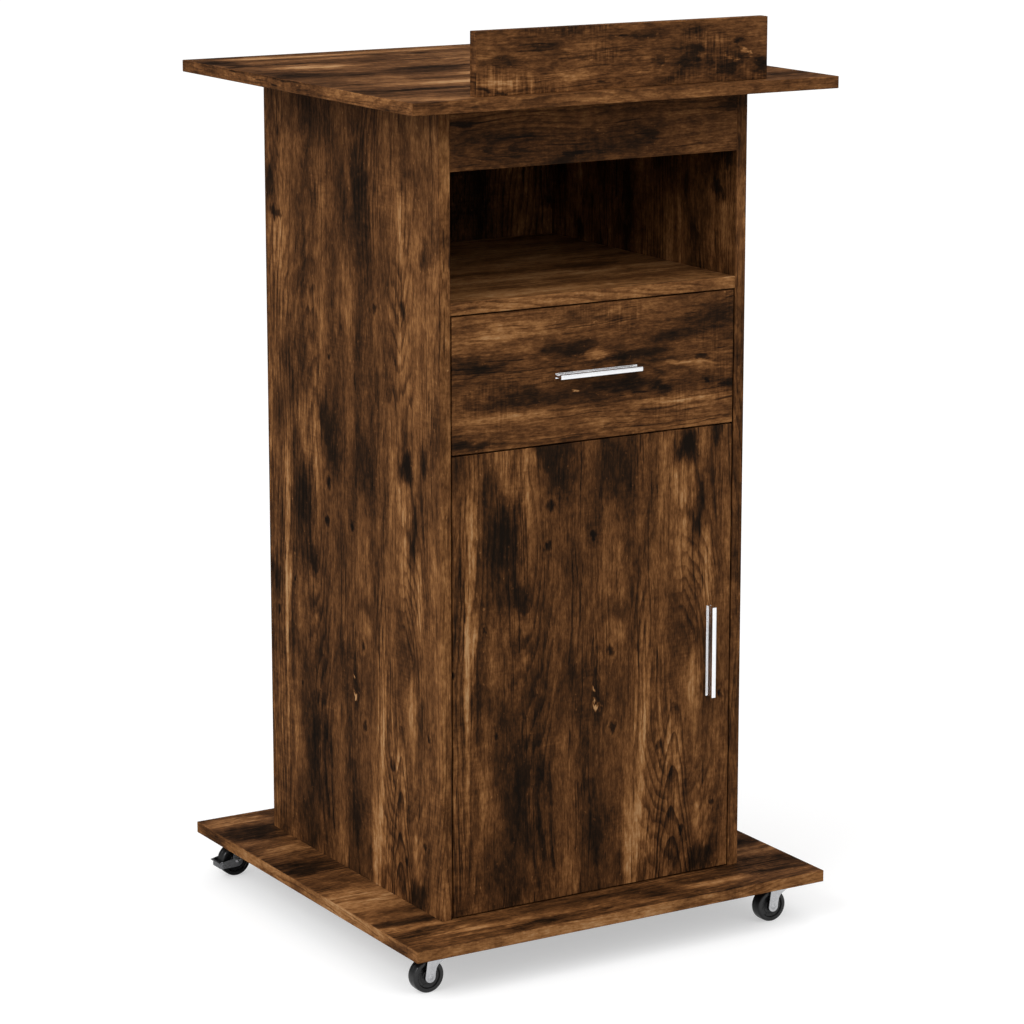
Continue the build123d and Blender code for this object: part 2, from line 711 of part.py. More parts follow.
# The arm leaves the pin inside the cup, bends round the door's swinging edge and runs
# back along the side panel as a foot with two screws.
with BuildPart() as hinge_arms:
    knuckle = 2.4
    bend_out = around_pivot(arm_reach, 0)
    foot_x = -inner + arm_sheet / 2
    foot_y = bend_out[1]
    for z in hinge_levels:
        with BuildSketch(Plane.XY.offset(z - hinge_arm_height / 2)) as strip:
            with BuildLine() as line:
                reach = Line(pivot, around_pivot(arm_reach, arm_lean))
                bend = ThreePointArc(reach @ 1, around_pivot(arm_reach, arm_lean / 2), bend_out)
                Line(bend @ 1, (foot_x + 5, foot_y))
                ThreePointArc(
                    (foot_x + 5, foot_y),
                    (foot_x + 5 - 5 * sin(radians(45)), foot_y + 5 - 5 * cos(radians(45))),
                    (foot_x, foot_y + 5),
                )
                Line((foot_x, foot_y + 5), (foot_x, foot_y + 46))
            trace(lines=line.line, line_width=arm_sheet)
            with Locations(pivot):
                Circle(knuckle)
        extrude(strip.sketch, amount=hinge_arm_height)
        rods(Plane.XY.offset(z - 10), [pivot], hinge_pin_radius + 0.05, 20, Mode.SUBTRACT)
    bores = [(y, z) for y in hinge_foot_rows for z in hinge_levels]
    rods(Plane.YZ.offset(-inner), bores, 1.9, 3, Mode.SUBTRACT)
keep("hinge_arms", hinge_arms)

with BuildPart() as hinge_arm_screws:
    inside = Plane.YZ.offset(-inner + arm_sheet)
    rods(inside, bores, panel_screw_radius, -panel_screw_bore - 1.5)
    rods(inside, bores, 3.5, 1.5)
    with BuildSketch(Plane.YZ.offset(-inner + arm_sheet + 1.5)) as cross:
        with Locations(*bores):
            Rectangle(4, 1)
            Rectangle(1, 4)
    extrude(cross.sketch, amount=-1, mode=Mode.SUBTRACT)
keep("hinge_arm_screws", hinge_arm_screws)

# ---- castors -----------------------------------------------------------------------------------
fork_outer = fork_inner + fork_sheet
axle_z = wheel_radius


def fork_profile(x, y):
    """The fork seen from the side: narrow legs rounded at the axle that widen under the roof."""
    axle_x = x - castor_trail
    with BuildSketch(Plane.XZ.offset(-(y - fork_outer))) as profile:
        with BuildLine():
            left = (axle_x - leg_radius, axle_z)
            right = (axle_x + leg_radius, axle_z)
            ThreePointArc(left, (axle_x, axle_z - leg_radius), right)
            Polyline(
                right,
                (axle_x + leg_radius + 1.5, axle_z + 12),
                (axle_x + leg_radius + 8, axle_z + 19),
                (x + fork_crown, fork_roof - 1.5),
                (x + fork_crown, fork_top),
                (axle_x - 3, fork_top),
                left,
            )
        make_face()
    extrude(profile.sketch, amount=-2 * fork_outer)


def fork_shell(x, y):
    """What the pressed sheet keeps of that block: two legs and a roof with a round front."""
    tail = x - castor_trail - leg_radius - 1
    with BuildSketch(Plane.XY) as hollow:
        with Locations((x, y)):
            Rectangle(4 * fork_crown, 2 * fork_inner)
    extrude(hollow.sketch, amount=fork_roof, mode=Mode.SUBTRACT)
    corner_x = x + sqrt(fork_crown**2 - fork_outer**2)
    with BuildSketch(Plane.XY) as outline:
        with BuildLine():
            Polyline(
                (corner_x, y - fork_outer),
                (tail, y - fork_outer),
                (tail, y + fork_outer),
                (corner_x, y + fork_outer),
            )
            ThreePointArc((corner_x, y + fork_outer), (x + fork_crown, y), (corner_x, y - fork_outer))
        make_face()
    extrude(outline.sketch, amount=fork_top, mode=Mode.INTERSECT)


for place, (x, y) in castors.items():
    axle_x = x - castor_trail
    braked = place.startswith("rear")

    with BuildPart() as castor_plate:
        with BuildSketch(Plane.XY.offset(castor_height - plate_sheet)) as plate:
            with Locations((x, y)):
                RectangleRounded(plate_x, plate_y, 5)
        extrude(plate.sketch, amount=plate_sheet)
        under = castor_height - plate_sheet
        rods(Plane.XY.offset(under), [(x, y)], 16, -race_height + 0.4)
        rods(Plane.XY.offset(under), [(x, y)], ball_circle + ball_radius + 0.2, -race_height, Mode.SUBTRACT)
        rods(Plane.XY.offset(under), [(x, y)], ball_circle - ball_radius - 0.2, -race_height + 0.6)
        own_screws = [(x + i * plate_hole_x / 2, y + j * plate_hole_y / 2) for i in (-1, 1) for j in (-1, 1)]
        rods(Plane.XY.offset(under), own_screws, 2.2, plate_sheet, Mode.SUBTRACT)
        rods(Plane.XY.offset(under - race_height), [(x, y)], 3.5, race_height + plate_sheet, Mode.SUBTRACT)
    keep(f"castor_{place}_plate", castor_plate)

    with BuildPart() as castor_fork:
        fork_profile(x, y)
        fork_shell(x, y)
        rods(Plane.XY.offset(fork_roof - 1), [(x, y)], 3.55, 4, Mode.SUBTRACT)
        across = Plane.XZ.offset(-(y - fork_outer))
        bore_length = 2 * fork_outer
        rods(across, [(axle_x, axle_z)], castor_axle_radius, -bore_length, Mode.SUBTRACT)
    keep(f"castor_{place}_fork", castor_fork)

    with BuildPart() as castor_wheel:
        with BuildSketch(Plane.XY.offset(axle_z)) as half:
            with BuildLine():
                tread = wheel_width / 2
                hub = hub_width / 2
                Polyline(
                    (axle_x + castor_axle_radius + 0.06, y - hub),
                    (axle_x + 6.5, y - hub),
                    (axle_x + 7.5, y - 5.5),
                    (axle_x + 14.5, y - 5.5),
                    (axle_x + 15.8, y - tread),
                    (axle_x + wheel_radius - 2.5, y - tread),
                    (axle_x + wheel_radius, y - tread + 2.5),
                    (axle_x + wheel_radius, y + tread - 2.5),
                    (axle_x + wheel_radius - 2.5, y + tread),
                    (axle_x + 15.8, y + tread),
                    (axle_x + 14.5, y + 5.5),
                    (axle_x + 7.5, y + 5.5),
                    (axle_x + 6.5, y + hub),
                    (axle_x + castor_axle_radius + 0.06, y + hub),
                    close=True,
                )
            make_face()
        revolve(half.sketch, axis=Axis((axle_x, y, axle_z), (0, 1, 0)))
    keep(f"castor_{place}_wheel", castor_wheel)

    with BuildPart() as castor_axle:
        reach = fork_outer + (lever_gap + lever_sheet + 0.2 if braked else 0)
        rods(Plane.XZ.offset(-(y - reach)), [(axle_x, axle_z)], castor_axle_radius, -2 * reach)
        for s in (-1, 1):
            rods(Plane.XZ.offset(-(y + s * reach)), [(axle_x, axle_z)], 4, -s * 1.2)
    keep(f"castor_{place}_axle", castor_axle)

    if braked:
        with BuildPart() as brake_lever:
            cheek = fork_outer + lever_gap
            for s in (-1, 1):
                near = Plane.XZ.offset(-(y + s * cheek))
                with BuildSketch(near) as plate:
                    with BuildLine():
                        Polyline(
                            (axle_x, axle_z + 6.5),
                            (axle_x - lever_reach, axle_z + 1.5),
                            (axle_x - lever_reach, axle_z - 7),
                            (axle_x, axle_z - 7),
                            close=True,
                        )
                    make_face()
                    with Locations((axle_x, axle_z)):
                        Circle(6.5)
                extrude(plate.sketch, amount=-s * lever_sheet)
            web_y = cheek + lever_sheet
            pedal_x = (axle_x - lever_reach, axle_x - lever_reach + lever_sheet)
            block(pedal_x, (y - web_y, y + web_y), (axle_z - 7, axle_z + 1.5))
            lip_x = (axle_x - lever_reach - 5, axle_x - lever_reach + lever_sheet)
            block(lip_x, (y - web_y, y + web_y), (axle_z + 0.3, axle_z + 1.5))
            across = Plane.XZ.offset(-(y - web_y))
            pin_bore = castor_axle_radius + 0.06
            rods(across, [(axle_x, axle_z)], pin_bore, -2 * web_y, Mode.SUBTRACT)
        keep(f"castor_{place}_brake_lever", brake_lever)

with BuildPart() as castor_king_pins:
    places = list(castors.values())
    rods(Plane.XY.offset(fork_roof - 2.2), places, 3.5, castor_height - fork_roof + 1.2)
    rods(Plane.XY.offset(fork_roof - 2.2), places, 6, 1.9)
keep("castor_king_pins", castor_king_pins)

with BuildPart() as castor_balls:
    for x, y in castors.values():
        with Locations((x, y, fork_top + ball_radius + 0.05)):
            with PolarLocations(ball_circle, ball_count):
                Sphere(ball_radius)
keep("castor_balls", castor_balls)

with BuildPart() as castor_plate_screws:
    under = castor_height - plate_sheet
    rods(Plane.XY.offset(under), castor_screws, castor_screw_radius, plate_sheet + castor_screw_length)
    rods(Plane.XY.offset(under), castor_screws, 2 * castor_screw_radius, -1.6)
    with BuildSketch(Plane.XY.offset(under - 1.6)) as cross:
        with Locations(*castor_screws):
            Rectangle(4.2, 1)
            Rectangle(1, 4.2)
    extrude(cross.sketch, amount=1, mode=Mode.SUBTRACT)
keep("castor_plate_screws", castor_plate_screws)
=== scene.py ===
import math

import bmesh
import bpy
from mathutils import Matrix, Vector


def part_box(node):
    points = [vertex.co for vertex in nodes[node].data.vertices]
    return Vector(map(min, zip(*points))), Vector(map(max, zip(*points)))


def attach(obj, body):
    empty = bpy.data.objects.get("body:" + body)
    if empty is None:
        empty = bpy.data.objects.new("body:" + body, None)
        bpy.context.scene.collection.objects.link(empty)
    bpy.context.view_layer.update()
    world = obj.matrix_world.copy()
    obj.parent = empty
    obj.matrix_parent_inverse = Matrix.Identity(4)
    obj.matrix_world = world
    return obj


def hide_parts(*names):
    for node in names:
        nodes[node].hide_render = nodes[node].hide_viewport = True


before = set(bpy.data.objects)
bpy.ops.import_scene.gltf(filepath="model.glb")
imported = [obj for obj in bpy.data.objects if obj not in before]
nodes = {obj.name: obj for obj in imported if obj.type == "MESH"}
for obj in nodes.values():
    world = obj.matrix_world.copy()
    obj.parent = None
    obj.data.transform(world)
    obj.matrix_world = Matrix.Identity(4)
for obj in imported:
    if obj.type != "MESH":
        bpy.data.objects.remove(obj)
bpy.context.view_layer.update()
scene = bpy.context.scene
MM = 0.001  # the mesh pieces and the marks of the print are given in millimetres


# ---- short calls for node trees --------------------------------------------------------
class Graph:
    """A node tree with short calls: each returns the socket or node it made."""

    def __init__(self, tree):
        self.tree = tree

    def node(self, kind, inputs=None, **settings):
        made = self.tree.nodes.new(kind)
        for key, value in settings.items():
            setattr(made, key, value)
        for key, value in (inputs or {}).items():
            self.feed(made.inputs[key], value)
        return made

    def feed(self, socket, value):
        if isinstance(value, bpy.types.NodeSocket):
            self.tree.links.new(value, socket)
        else:
            socket.default_value = value

    def math(self, operation, *values):
        made = self.node("ShaderNodeMath", operation=operation)
        for socket, value in zip(made.inputs, values):
            self.feed(socket, value)
        return made.outputs[0]

    def add(self, *values):
        total = values[0]
        for value in values[1:]:
            total = self.math("ADD", total, value)
        return total

    def times(self, a, b):
        return self.math("MULTIPLY", a, b)

    def vector(self, operation, *values):
        made = self.node("ShaderNodeVectorMath", operation=operation)
        for socket, value in zip(made.inputs, values):
            self.feed(socket, value)
        return made.outputs["Value" if operation == "LENGTH" else "Vector"]

    def stretched(self, vector, along, across, depth=None):
        return self.vector("MULTIPLY", vector, (along, across, across if depth is None else depth))

    def noise(self, vector, detail=2.0, roughness=0.5, output="Factor", scale=1.0, distortion=0.0):
        made = self.node(
            "ShaderNodeTexNoise",
            {
                "Vector": vector,
                "Scale": scale,
                "Detail": detail,
                "Roughness": roughness,
                "Distortion": distortion,
            },
        )
        return made.outputs[0 if output == "Factor" else 1]

    def swing(self, value, amount):
        """A noise of 0 to 1 made to swing round zero."""
        return self.times(self.math("SUBTRACT", value, 0.5), amount)

    def shake(self, grain, along, across, reach, detail=2, roughness=0.5):
        """A small wandering shift of the grain, at most half of reach each way."""
        shift = self.noise(self.stretched(grain, along, across), detail, roughness, "Color")
        return self.vector("MULTIPLY", self.vector("SUBTRACT", shift, (0.5, 0.5, 0.5)), reach)

    def cells(self, vector, output="Distance"):
        return self.node("ShaderNodeTexVoronoi", {"Vector": vector, "Scale": 1.0}).outputs[output]

    def span(self, value, low, high, start=0.0, end=1.0, smooth=True):
        made = self.node(
            "ShaderNodeMapRange",
            {"Value": value, "From Min": low, "From Max": high, "To Min": start, "To Max": end},
            interpolation_type="SMOOTHSTEP" if smooth else "LINEAR",
        )
        return made.outputs["Result"]

    def ramp(self, value, stops):
        made = self.node("ShaderNodeValToRGB", {"Fac": value})
        band = made.color_ramp.elements
        while len(band) < len(stops):
            band.new(0.5)
        for element, (place, colour) in zip(band, stops):
            element.position = place
            element.color = (*colour, 1)
        return made.outputs["Color"]

    def mix(self, factor, a, b):
        made = self.node("ShaderNodeMix", data_type="RGBA")
        for socket, value in zip([made.inputs[0], made.inputs[6], made.inputs[7]], (factor, a, b)):
            self.feed(socket, value)
        return made.outputs[2]

    def mix_vector(self, factor, a, b):
        made = self.node("ShaderNodeMix", data_type="VECTOR")
        for socket, value in zip([made.inputs[0], made.inputs[4], made.inputs[5]], (factor, a, b)):
            self.feed(socket, value)
        return made.outputs[1]

    def group(self, tree, **inputs):
        """A use of a node group; an input's spaces are written as underscores."""
        made = self.node("ShaderNodeGroup", node_tree=tree)
        for label, value in inputs.items():
            self.feed(made.inputs[label.replace("_", " ")], value)
        return made.outputs

    def relief(self, shader, height, strength, distance):
        """Bumps the shader's surface by the height."""
        inputs = {"Strength": strength, "Distance": distance, "Height": height}
        bump = self.node("ShaderNodeBump", inputs)
        self.feed(shader.inputs["Normal"], bump.outputs["Normal"])


def group_tree(name, inputs, outputs):
    """A node group with its sockets, as (graph, input node, output node)."""
    tree = bpy.data.node_groups.new(name, "ShaderNodeTree")
    for kinds, direction in ((inputs, "INPUT"), (outputs, "OUTPUT")):
        for label, kind in kinds:
            tree.interface.new_socket(label, in_out=direction, socket_type=f"NodeSocket{kind}")
    graph = Graph(tree)
    return graph, graph.node("NodeGroupInput"), graph.node("NodeGroupOutput")


# ---- smoked oak print -------------------------------------------------------------------
def make_ragged_group():
    """Shakes grain coordinates so that the edges of marks fray along the grain."""
    g, given, out = group_tree("ragged", [("Grain", "Vector")], [("Ragged", "Vector")])
    grain = given.outputs["Grain"]
    wide = g.shake(grain, 11, 30, (0.085, 0.036, 0), 3, 0.6)
    fine = g.shake(grain, 60, 190, (0.034, 0.012, 0), 3, 0.7)
    g.feed(out.inputs["Ragged"], g.vector("ADD", g.vector("ADD", grain, wide), fine))
    return g.tree


def make_mark_group():
    """Adds one soft oval mark, given by its centre, its spread and its strength."""
    vectors = [(label, "Vector") for label in ("Ragged", "Centre", "Inverse spread")]
    g, given, out = group_tree(
        "print_mark", [("Sum", "Float"), *vectors, ("Strength", "Float")], [("Sum", "Float")]
    )
    away = g.vector("SUBTRACT", given.outputs["Ragged"], given.outputs["Centre"])
    away = g.vector("LENGTH", g.vector("MULTIPLY", away, given.outputs["Inverse spread"]))
    mark = g.times(g.span(away, 1.45, 0.10), given.outputs["Strength"])
    g.feed(out.inputs["Sum"], g.math("ADD", given.outputs["Sum"], mark))
    return g.tree


def make_knot_group():
    """Adds one round knot, given by its centre and inverse radius: a dark core in a faint ring."""
    vectors = [(label, "Vector") for label in ("Grain", "Centre", "Inverse radius")]
    g, given, out = group_tree("placed_knot", [("Sum", "Float"), *vectors], [("Sum", "Float")])
    grain = given.outputs["Grain"]
    shaken = g.vector("ADD", grain, g.shake(grain, 70, 130, (0.020, 0.014, 0), 3, 0.6))
    away = g.vector("SUBTRACT", shaken, given.outputs["Centre"])
    away = g.vector("LENGTH", g.vector("MULTIPLY", away, given.outputs["Inverse radius"]))
    core = g.span(away, 1.0, 0.3)
    ring = g.times(g.times(g.span(away, 1.2, 1.6), g.span(away, 2.3, 1.7)), 0.16)
    g.feed(out.inputs["Sum"], g.add(given.outputs["Sum"], core, ring))
    return g.tree


def make_oak_group():
    """Dark smoked oak as printed decor film. Grain is (along, across, depth) in metres."""
    labels = ("Smoke", "Light", "Arches", "Knots", "Rings", "Saw marks", "Tone")
    g, given, out = group_tree(
        "smoked_oak_print",
        [("Grain", "Vector")] + [(label, "Float") for label in labels],
        [("Color", "Color"), ("Height", "Float"), ("Roughness", "Float")],
    )
    grain = given.outputs["Grain"]
    sway = g.shake(grain, 2.6, 8, (0.05, 0.034, 0.02))
    ripple = g.shake(grain, 16, 42, (0.0, 0.0055, 0.004))
    fibre = g.vector("ADD", g.vector("ADD", grain, sway), ripple)

    plank = g.noise(g.stretched(fibre, 1.3, 21), 2, 0.5)
    streak = g.noise(g.stretched(fibre, 4.5, 95), 4, 0.62)
    thread = g.noise(g.stretched(fibre, 24, 520), 3, 0.6)
    hair = g.noise(g.stretched(fibre, 60, 1900), 2, 0.6)

    # growth rings: distance from a wandering pith line below the board's face
    parts = g.node("ShaderNodeSeparateXYZ", {"Vector": fibre})
    sideways = g.math("ADD", parts.outputs["Y"], parts.outputs["Z"])
    local = g.math("PINGPONG", g.math("ADD", sideways, 0.035), 0.115)
    deep = g.noise(g.stretched(grain, 1.9, 3.2), 1, 0.5)
    deep = g.span(deep, 0.30, 0.72, 0.0, 0.105, smooth=False)
    away = g.math("SQRT", g.add(g.times(local, local), g.times(deep, deep)))
    wave = g.noise(g.stretched(fibre, 7, 55), 2, 0.5)
    turns = g.add(g.times(away, 150.0), g.times(wave, 1.7))
    ring = g.math("FRACT", turns)
    ring = g.times(g.span(ring, 0.35, 0.86), g.span(ring, 1.0, 0.88))
    where = g.noise(g.stretched(grain, 3.0, 17), 2, 0.5)
    where = g.span(where, 0.42, 0.60, 0.12, 1.0)
    ring = g.times(g.times(ring, where), g.span(thread, 0.30, 0.62, 0.35, 1.0))

    # smoke: soft dark clouds stretched along the grain, frayed by the streaks; the given marks that
    # come in here are mostly smoke of the print, and a few are painted shade
    cloud = g.noise(g.stretched(fibre, 6.5, 17), 5, 0.62, distortion=0.25)
    cloud = g.add(cloud, g.swing(streak, 0.35), g.swing(thread, 0.14))
    cloud = g.add(cloud, g.times(given.outputs["Smoke"], 0.25))
    cloud = g.math("SUBTRACT", cloud, g.times(given.outputs["Light"], 0.16))
    smoke = g.span(cloud, 0.42, 0.88)

    # knots: some cells of a coarse pattern hold one, with a dark core and a halo
    seat = g.stretched(fibre, 8.5, 13, 13)
    chosen = g.node("ShaderNodeSeparateXYZ", {"Vector": g.cells(seat, "Color")})
    reach = g.span(chosen.outputs["X"], 0.62, 1.0, 0.0, 0.085, smooth=False)
    apart = g.add(g.cells(seat), g.swing(thread, 0.05))
    share = g.math("DIVIDE", apart, g.math("MAXIMUM", reach, 0.001))
    knot = g.span(share, 1.0, 0.45)
    halo = g.times(g.span(share, 2.8, 1.0), 0.4)

    # long dark pore lines, gathered in bands
    line = g.noise(g.stretched(fibre, 7, 330), 2, 0.55)
    band = g.span(g.noise(g.stretched(grain, 3.4, 23), 2, 0.5), 0.42, 0.62)
    line = g.times(g.span(line, 0.53, 0.66), band)

    # cracks and flecks
    gap = g.noise(g.stretched(fibre, 19, 230), 1, 0.4)
    crack = g.times(g.span(gap, 0.715, 0.76), g.span(streak, 0.62, 0.45))
    fleck = g.noise(g.stretched(grain, 150, 210), 1, 0.5)
    fleck = g.times(g.span(fleck, 0.70, 0.78), g.span(cloud, 0.48, 0.60))

    # saw marks across the grain, in patches
    saw = g.noise(g.stretched(grain, 330, 26), 3, 0.6)
    patch = g.span(g.noise(g.stretched(grain, 9, 13), 2, 0.5), 0.48, 0.60)
    saw = g.times(g.times(g.math("SUBTRACT", saw, 0.5), patch), given.outputs["Saw marks"])

    # finer unevenness of the print
    blotch = g.noise(g.stretched(fibre, 55, 105), 4, 0.65)
    mottle = g.noise(g.stretched(grain, 14, 30), 4, 0.6, distortion=0.4)
    dash = g.noise(g.stretched(grain, 150, 520), 2, 0.6)

    # what lightens (above 0) or darkens (below 0) the print, with how much
    swings = (
        (plank, 0.62), (streak, 0.58), (thread, 0.46), (hair, 0.12),
        (blotch, 0.55), (dash, 0.46), (mottle, 0.50),
    )
    shares = (
        (g.times(given.outputs["Light"], g.span(streak, 0.30, 0.60, 0.45, 1.25)), 0.27),
        (saw, 0.9), (fleck, 0.22), (smoke, -0.37), (g.times(ring, given.outputs["Rings"]), -0.24),
        (given.outputs["Arches"], -0.30), (given.outputs["Knots"], -0.40),
        (knot, -0.34), (halo, -0.22), (crack, -0.26), (line, -0.26),
    )
    tone = g.add(
        given.outputs["Tone"],
        *(g.swing(value, amount) for value, amount in swings),
        *(g.times(value, amount) for value, amount in shares),
    )
    colour = g.ramp(
        tone,
        [
            (0.00, (0.0050, 0.0027, 0.0014)),
            (0.20, (0.0240, 0.0104, 0.0042)),
            (0.40, (0.0730, 0.0285, 0.0094)),
            (0.58, (0.1520, 0.0610, 0.0198)),
            (0.78, (0.3050, 0.1360, 0.0460)),
            (1.00, (0.4700, 0.2600, 0.1150)),
        ],
    )
    # the colour is mixed toward dark brown where the smoke is; where it comes from painted shade
    # marks, this is painted shade too
    haze = g.mix(g.times(smoke, 0.28), colour, (0.0150, 0.0088, 0.0048, 1))
    height = g.add(thread, g.times(hair, 0.6), g.times(ring, -0.5), g.times(crack, -2.0))
    g.feed(out.inputs["Color"], haze)
    g.feed(out.inputs["Height"], height)
    g.feed(out.inputs["Roughness"], g.add(0.52, g.times(streak, 0.10), g.times(smoke, 0.08)))
    return g.tree


def make_arch_group():
    """Nested pointed arches round a centre line: thin dark lines where the saw met the rings."""
    sockets = [("Grain", "Vector"), ("Tip", "Vector")]
    g, given, out = group_tree("cathedral", sockets, [("Arches", "Float")])
    grain = given.outputs["Grain"]
    swayed = g.vector("ADD", grain, g.shake(grain, 12, 26, (0.05, 0.016, 0)))
    away = g.vector("SUBTRACT", swayed, given.outputs["Tip"])
    away = g.node("ShaderNodeSeparateXYZ", {"Vector": away})
    along, across = away.outputs["X"], away.outputs["Y"]
    level = g.math("ADD", along, g.times(g.times(across, across), 190.0))
    turns = g.math("FRACT", g.times(level, 22.0))
    line = g.times(g.span(turns, 0.40, 0.90), g.span(turns, 1.0, 0.93))
    inside = g.times(g.span(g.math("ABSOLUTE", across), 0.050, 0.018), g.span(level, 0.02, -0.03))
    lasting = g.span(along, -0.36, -0.22)
    g.feed(out.inputs["Arches"], g.times(g.times(line, inside), lasting))
    return g.tree


RAGGED = make_ragged_group()
ARCHES = make_arch_group()
MARK = make_mark_group()
KNOT = make_knot_group()
OAK = make_oak_group()


def surface(name):
    """A new material as (material, graph, shader)."""
    material = bpy.data.materials.new(name)
    material.use_nodes = True
    graph = Graph(material.node_tree)
    return material, graph, material.node_tree.nodes["Principled BSDF"]


def in_order(graph, parts, order):
    """Object coordinates put in the order along, across, depth; '-x' turns one round."""
    made = {}
    for socket, axis in zip("XYZ", order):
        value = parts.outputs[axis[-1].upper()]
        made[socket] = graph.times(value, -1.0) if axis[0] == "-" else value
    return graph.node("ShaderNodeCombineXYZ", made).outputs[0]


def placed(point, place):
    """A flat point in millimetres, moved by place, as grain coordinates in metres."""
    return ((point[0] + place[0]) * MM, (point[1] + place[1]) * MM, 0)


def mark_total(graph, ragged, marks, place):
    """The strength of the given marks at a point; some of them are painted shade."""
    total = 0.0
    for along, across, length, width, strength in marks:
        total = graph.group(
            MARK,
            Sum=total,
            Ragged=ragged,
            Centre=placed((along, across), place),
            Inverse_spread=(1 / (length * MM), 1 / (width * MM), 0),
            Strength=strength,
        )["Sum"]
    return total


def knot_total(graph, grain, knots, place):
    """How dark the placed knots make a point of the print. A knot is a little longer than wide."""
    total = 0.0
    for along, across, radius in knots:
        size = radius * MM
        total = graph.group(
            KNOT,
            Sum=total,
            Grain=grain,
            Centre=placed((along, across), place),
            Inverse_radius=(0.7 / size, 1 / size, 0),
        )["Sum"]
    return total


def oak(
    name, order, seed, marks=(), lights=(), knots=(), tip=None, place=(0, 0),
    rings=1.0, saw=0.25, tone=0.52, end=None, rim=None,
):
    """Smoked oak on one board. order says which axes run along, across and through the grain.

    marks and lights are (along, across, half length, half width, strength), knots are (along,
    across, radius) and tip is the point of the arches, all in millimetres and moved by place.
    end is (axis, order) for the two edges that carry a strip of their own. rim is (axis, amount)
    for painted light: how much lighter the faces are that don't face along the axis, a painted
    highlight on the board's edges.
    """
    material, g, shader = surface(name)
    given = g.node("ShaderNodeTexCoord")
    parts = g.node("ShaderNodeSeparateXYZ", {"Vector": given.outputs["Object"]})
    facing = g.node("ShaderNodeSeparateXYZ", {"Vector": given.outputs["Normal"]})
    grain = in_order(g, parts, order)
    if end:
        edge = g.math("ABSOLUTE", facing.outputs[end[0].upper()])
        grain = g.mix_vector(g.math("GREATER_THAN", edge, 0.75), grain, in_order(g, parts, end[1]))
    # painted light: faces that don't face along the rim axis get a lighter tone, a painted highlight
    # on the edges
    if rim:
        painted_edge_light = g.math("SUBTRACT", 1.0, g.math("ABSOLUTE", facing.outputs[rim[0].upper()]))
        tone = g.add(tone, g.times(painted_edge_light, rim[1]))
    ragged = g.group(RAGGED, Grain=grain)["Ragged"]
    look = g.group(
        OAK,
        Grain=g.vector("ADD", grain, seed),
        Smoke=mark_total(g, ragged, marks, place),
        Light=mark_total(g, ragged, lights, place),
        Arches=g.group(ARCHES, Grain=grain, Tip=placed(tip, place))["Arches"] if tip else 0.0,
        Knots=knot_total(g, grain, knots, place),
        Rings=rings,
        Saw_marks=saw,
        Tone=tone,
    )
    g.feed(shader.inputs["Base Color"], look["Color"])
    g.feed(shader.inputs["Roughness"], look["Roughness"])
    shader.inputs["Specular IOR Level"].default_value = 0.04
    g.relief(shader, look["Height"], 0.35, 0.00025)
    return material


# Where each print is dark, light or knotted, and where a few marks are painted shade: along is up
# on the door and panels and to the right on the other boards. Marks and lights are (along, across,
# half length, half width, strength), knots are (along, across, radius).
UPRIGHT_MARKS = [
    (535, -142, 80, 34, 0.95),
    (462, -112, 26, 22, 0.9),
    (632, -58, 50, 34, 1.2),
    (238, -122, 80, 26, 0.85),
    (240, -82, 44, 28, 0.7),
    (130, -112, 80, 40, 1.1),
    (345, 4, 66, 9, 1.1),
    (165, 0, 130, 30, 0.9),
    (436, 32, 22, 24, 0.8),
    (403, -98, 16, 26, 0.8),
    (345, -100, 26, 16, 0.6),
    (92, 162, 26, 20, 1.6),
    (96, 116, 16, 11, 1.0),
    (628, 131, 28, 14, 1.1),
    (556, 157, 46, 9, 0.9),
    (425, -212, 30, 22, 1.1),
    (600, -198, 70, 15, 0.7),
    (480, -194, 44, 9, 0.6),
    (605, 34, 56, 44, 0.7),
    (513, 48, 22, 12, 0.5),
    (660, -75, 34, 17, 1.7),
    (760, 15, 230, 22, 0.65),
    (990, 25, 60, 20, 0.9),
    (812, 130, 14, 10, 1.9),
    (1010, 120, 50, 26, 0.8),
    # a dark patch of the print, made deeper as painted shade under the top plate's overhang
    (1035, -100, 36, 60, 0.8),
    # painted shade: a broad darkening at the top of the panels, under the top plate's overhang
    (960, -70, 130, 150, 0.45),
    (905, -196, 10, 20, 1.9),
    (940, -213, 14, 8, 1.7),
    (832, -138, 18, 10, 0.8),
    (775, -92, 20, 10, 0.8),
    (640, 178, 20, 9, 1.6),
    (622, 140, 28, 12, 1.3),
    (905, 185, 20, 14, 0.9),
    (712, -182, 34, 20, 0.8),
]
UPRIGHT_KNOTS = [
    (532, -2, 6),
    (525, -68, 7),
    (574, -64, 8),
    (430, -160, 4),
    (293, -142, 5),
    (278, 28, 7),
    (380, 24, 7),
    (245, 98, 8),
    (160, 178, 5),
    (300, 190, 5),
    (128, 132, 6),
    (380, -205, 6),
    (736, -60, 5),
    (815, 60, 6),
]
UPRIGHT_LIGHTS = [
    (420, -180, 190, 10, 1.0),
    (615, -118, 60, 36, 0.75),
    (310, 70, 130, 15, 0.95),
    (120, 62, 100, 22, 1.15),
    (220, 128, 120, 30, 0.45),
    (150, 158, 60, 16, 0.55),
    (330, 150, 60, 14, 0.6),
    (520, 133, 90, 13, 0.55),
    (470, 165, 80, 12, 0.7),
    (240, 115, 60, 9, 0.8),
    (420, -35, 50, 26, 0.5),
    (870, -196, 70, 26, 0.6),
    (780, 122, 34, 12, 0.7),
    (575, 134, 50, 9, 0.55),
    (690, -190, 30, 26, 0.5),
    (312, 1, 5, 6, 2.4),
    (334, 0, 4, 4, 1.8),
    (900, 133, 60, 6, 0.8),
]
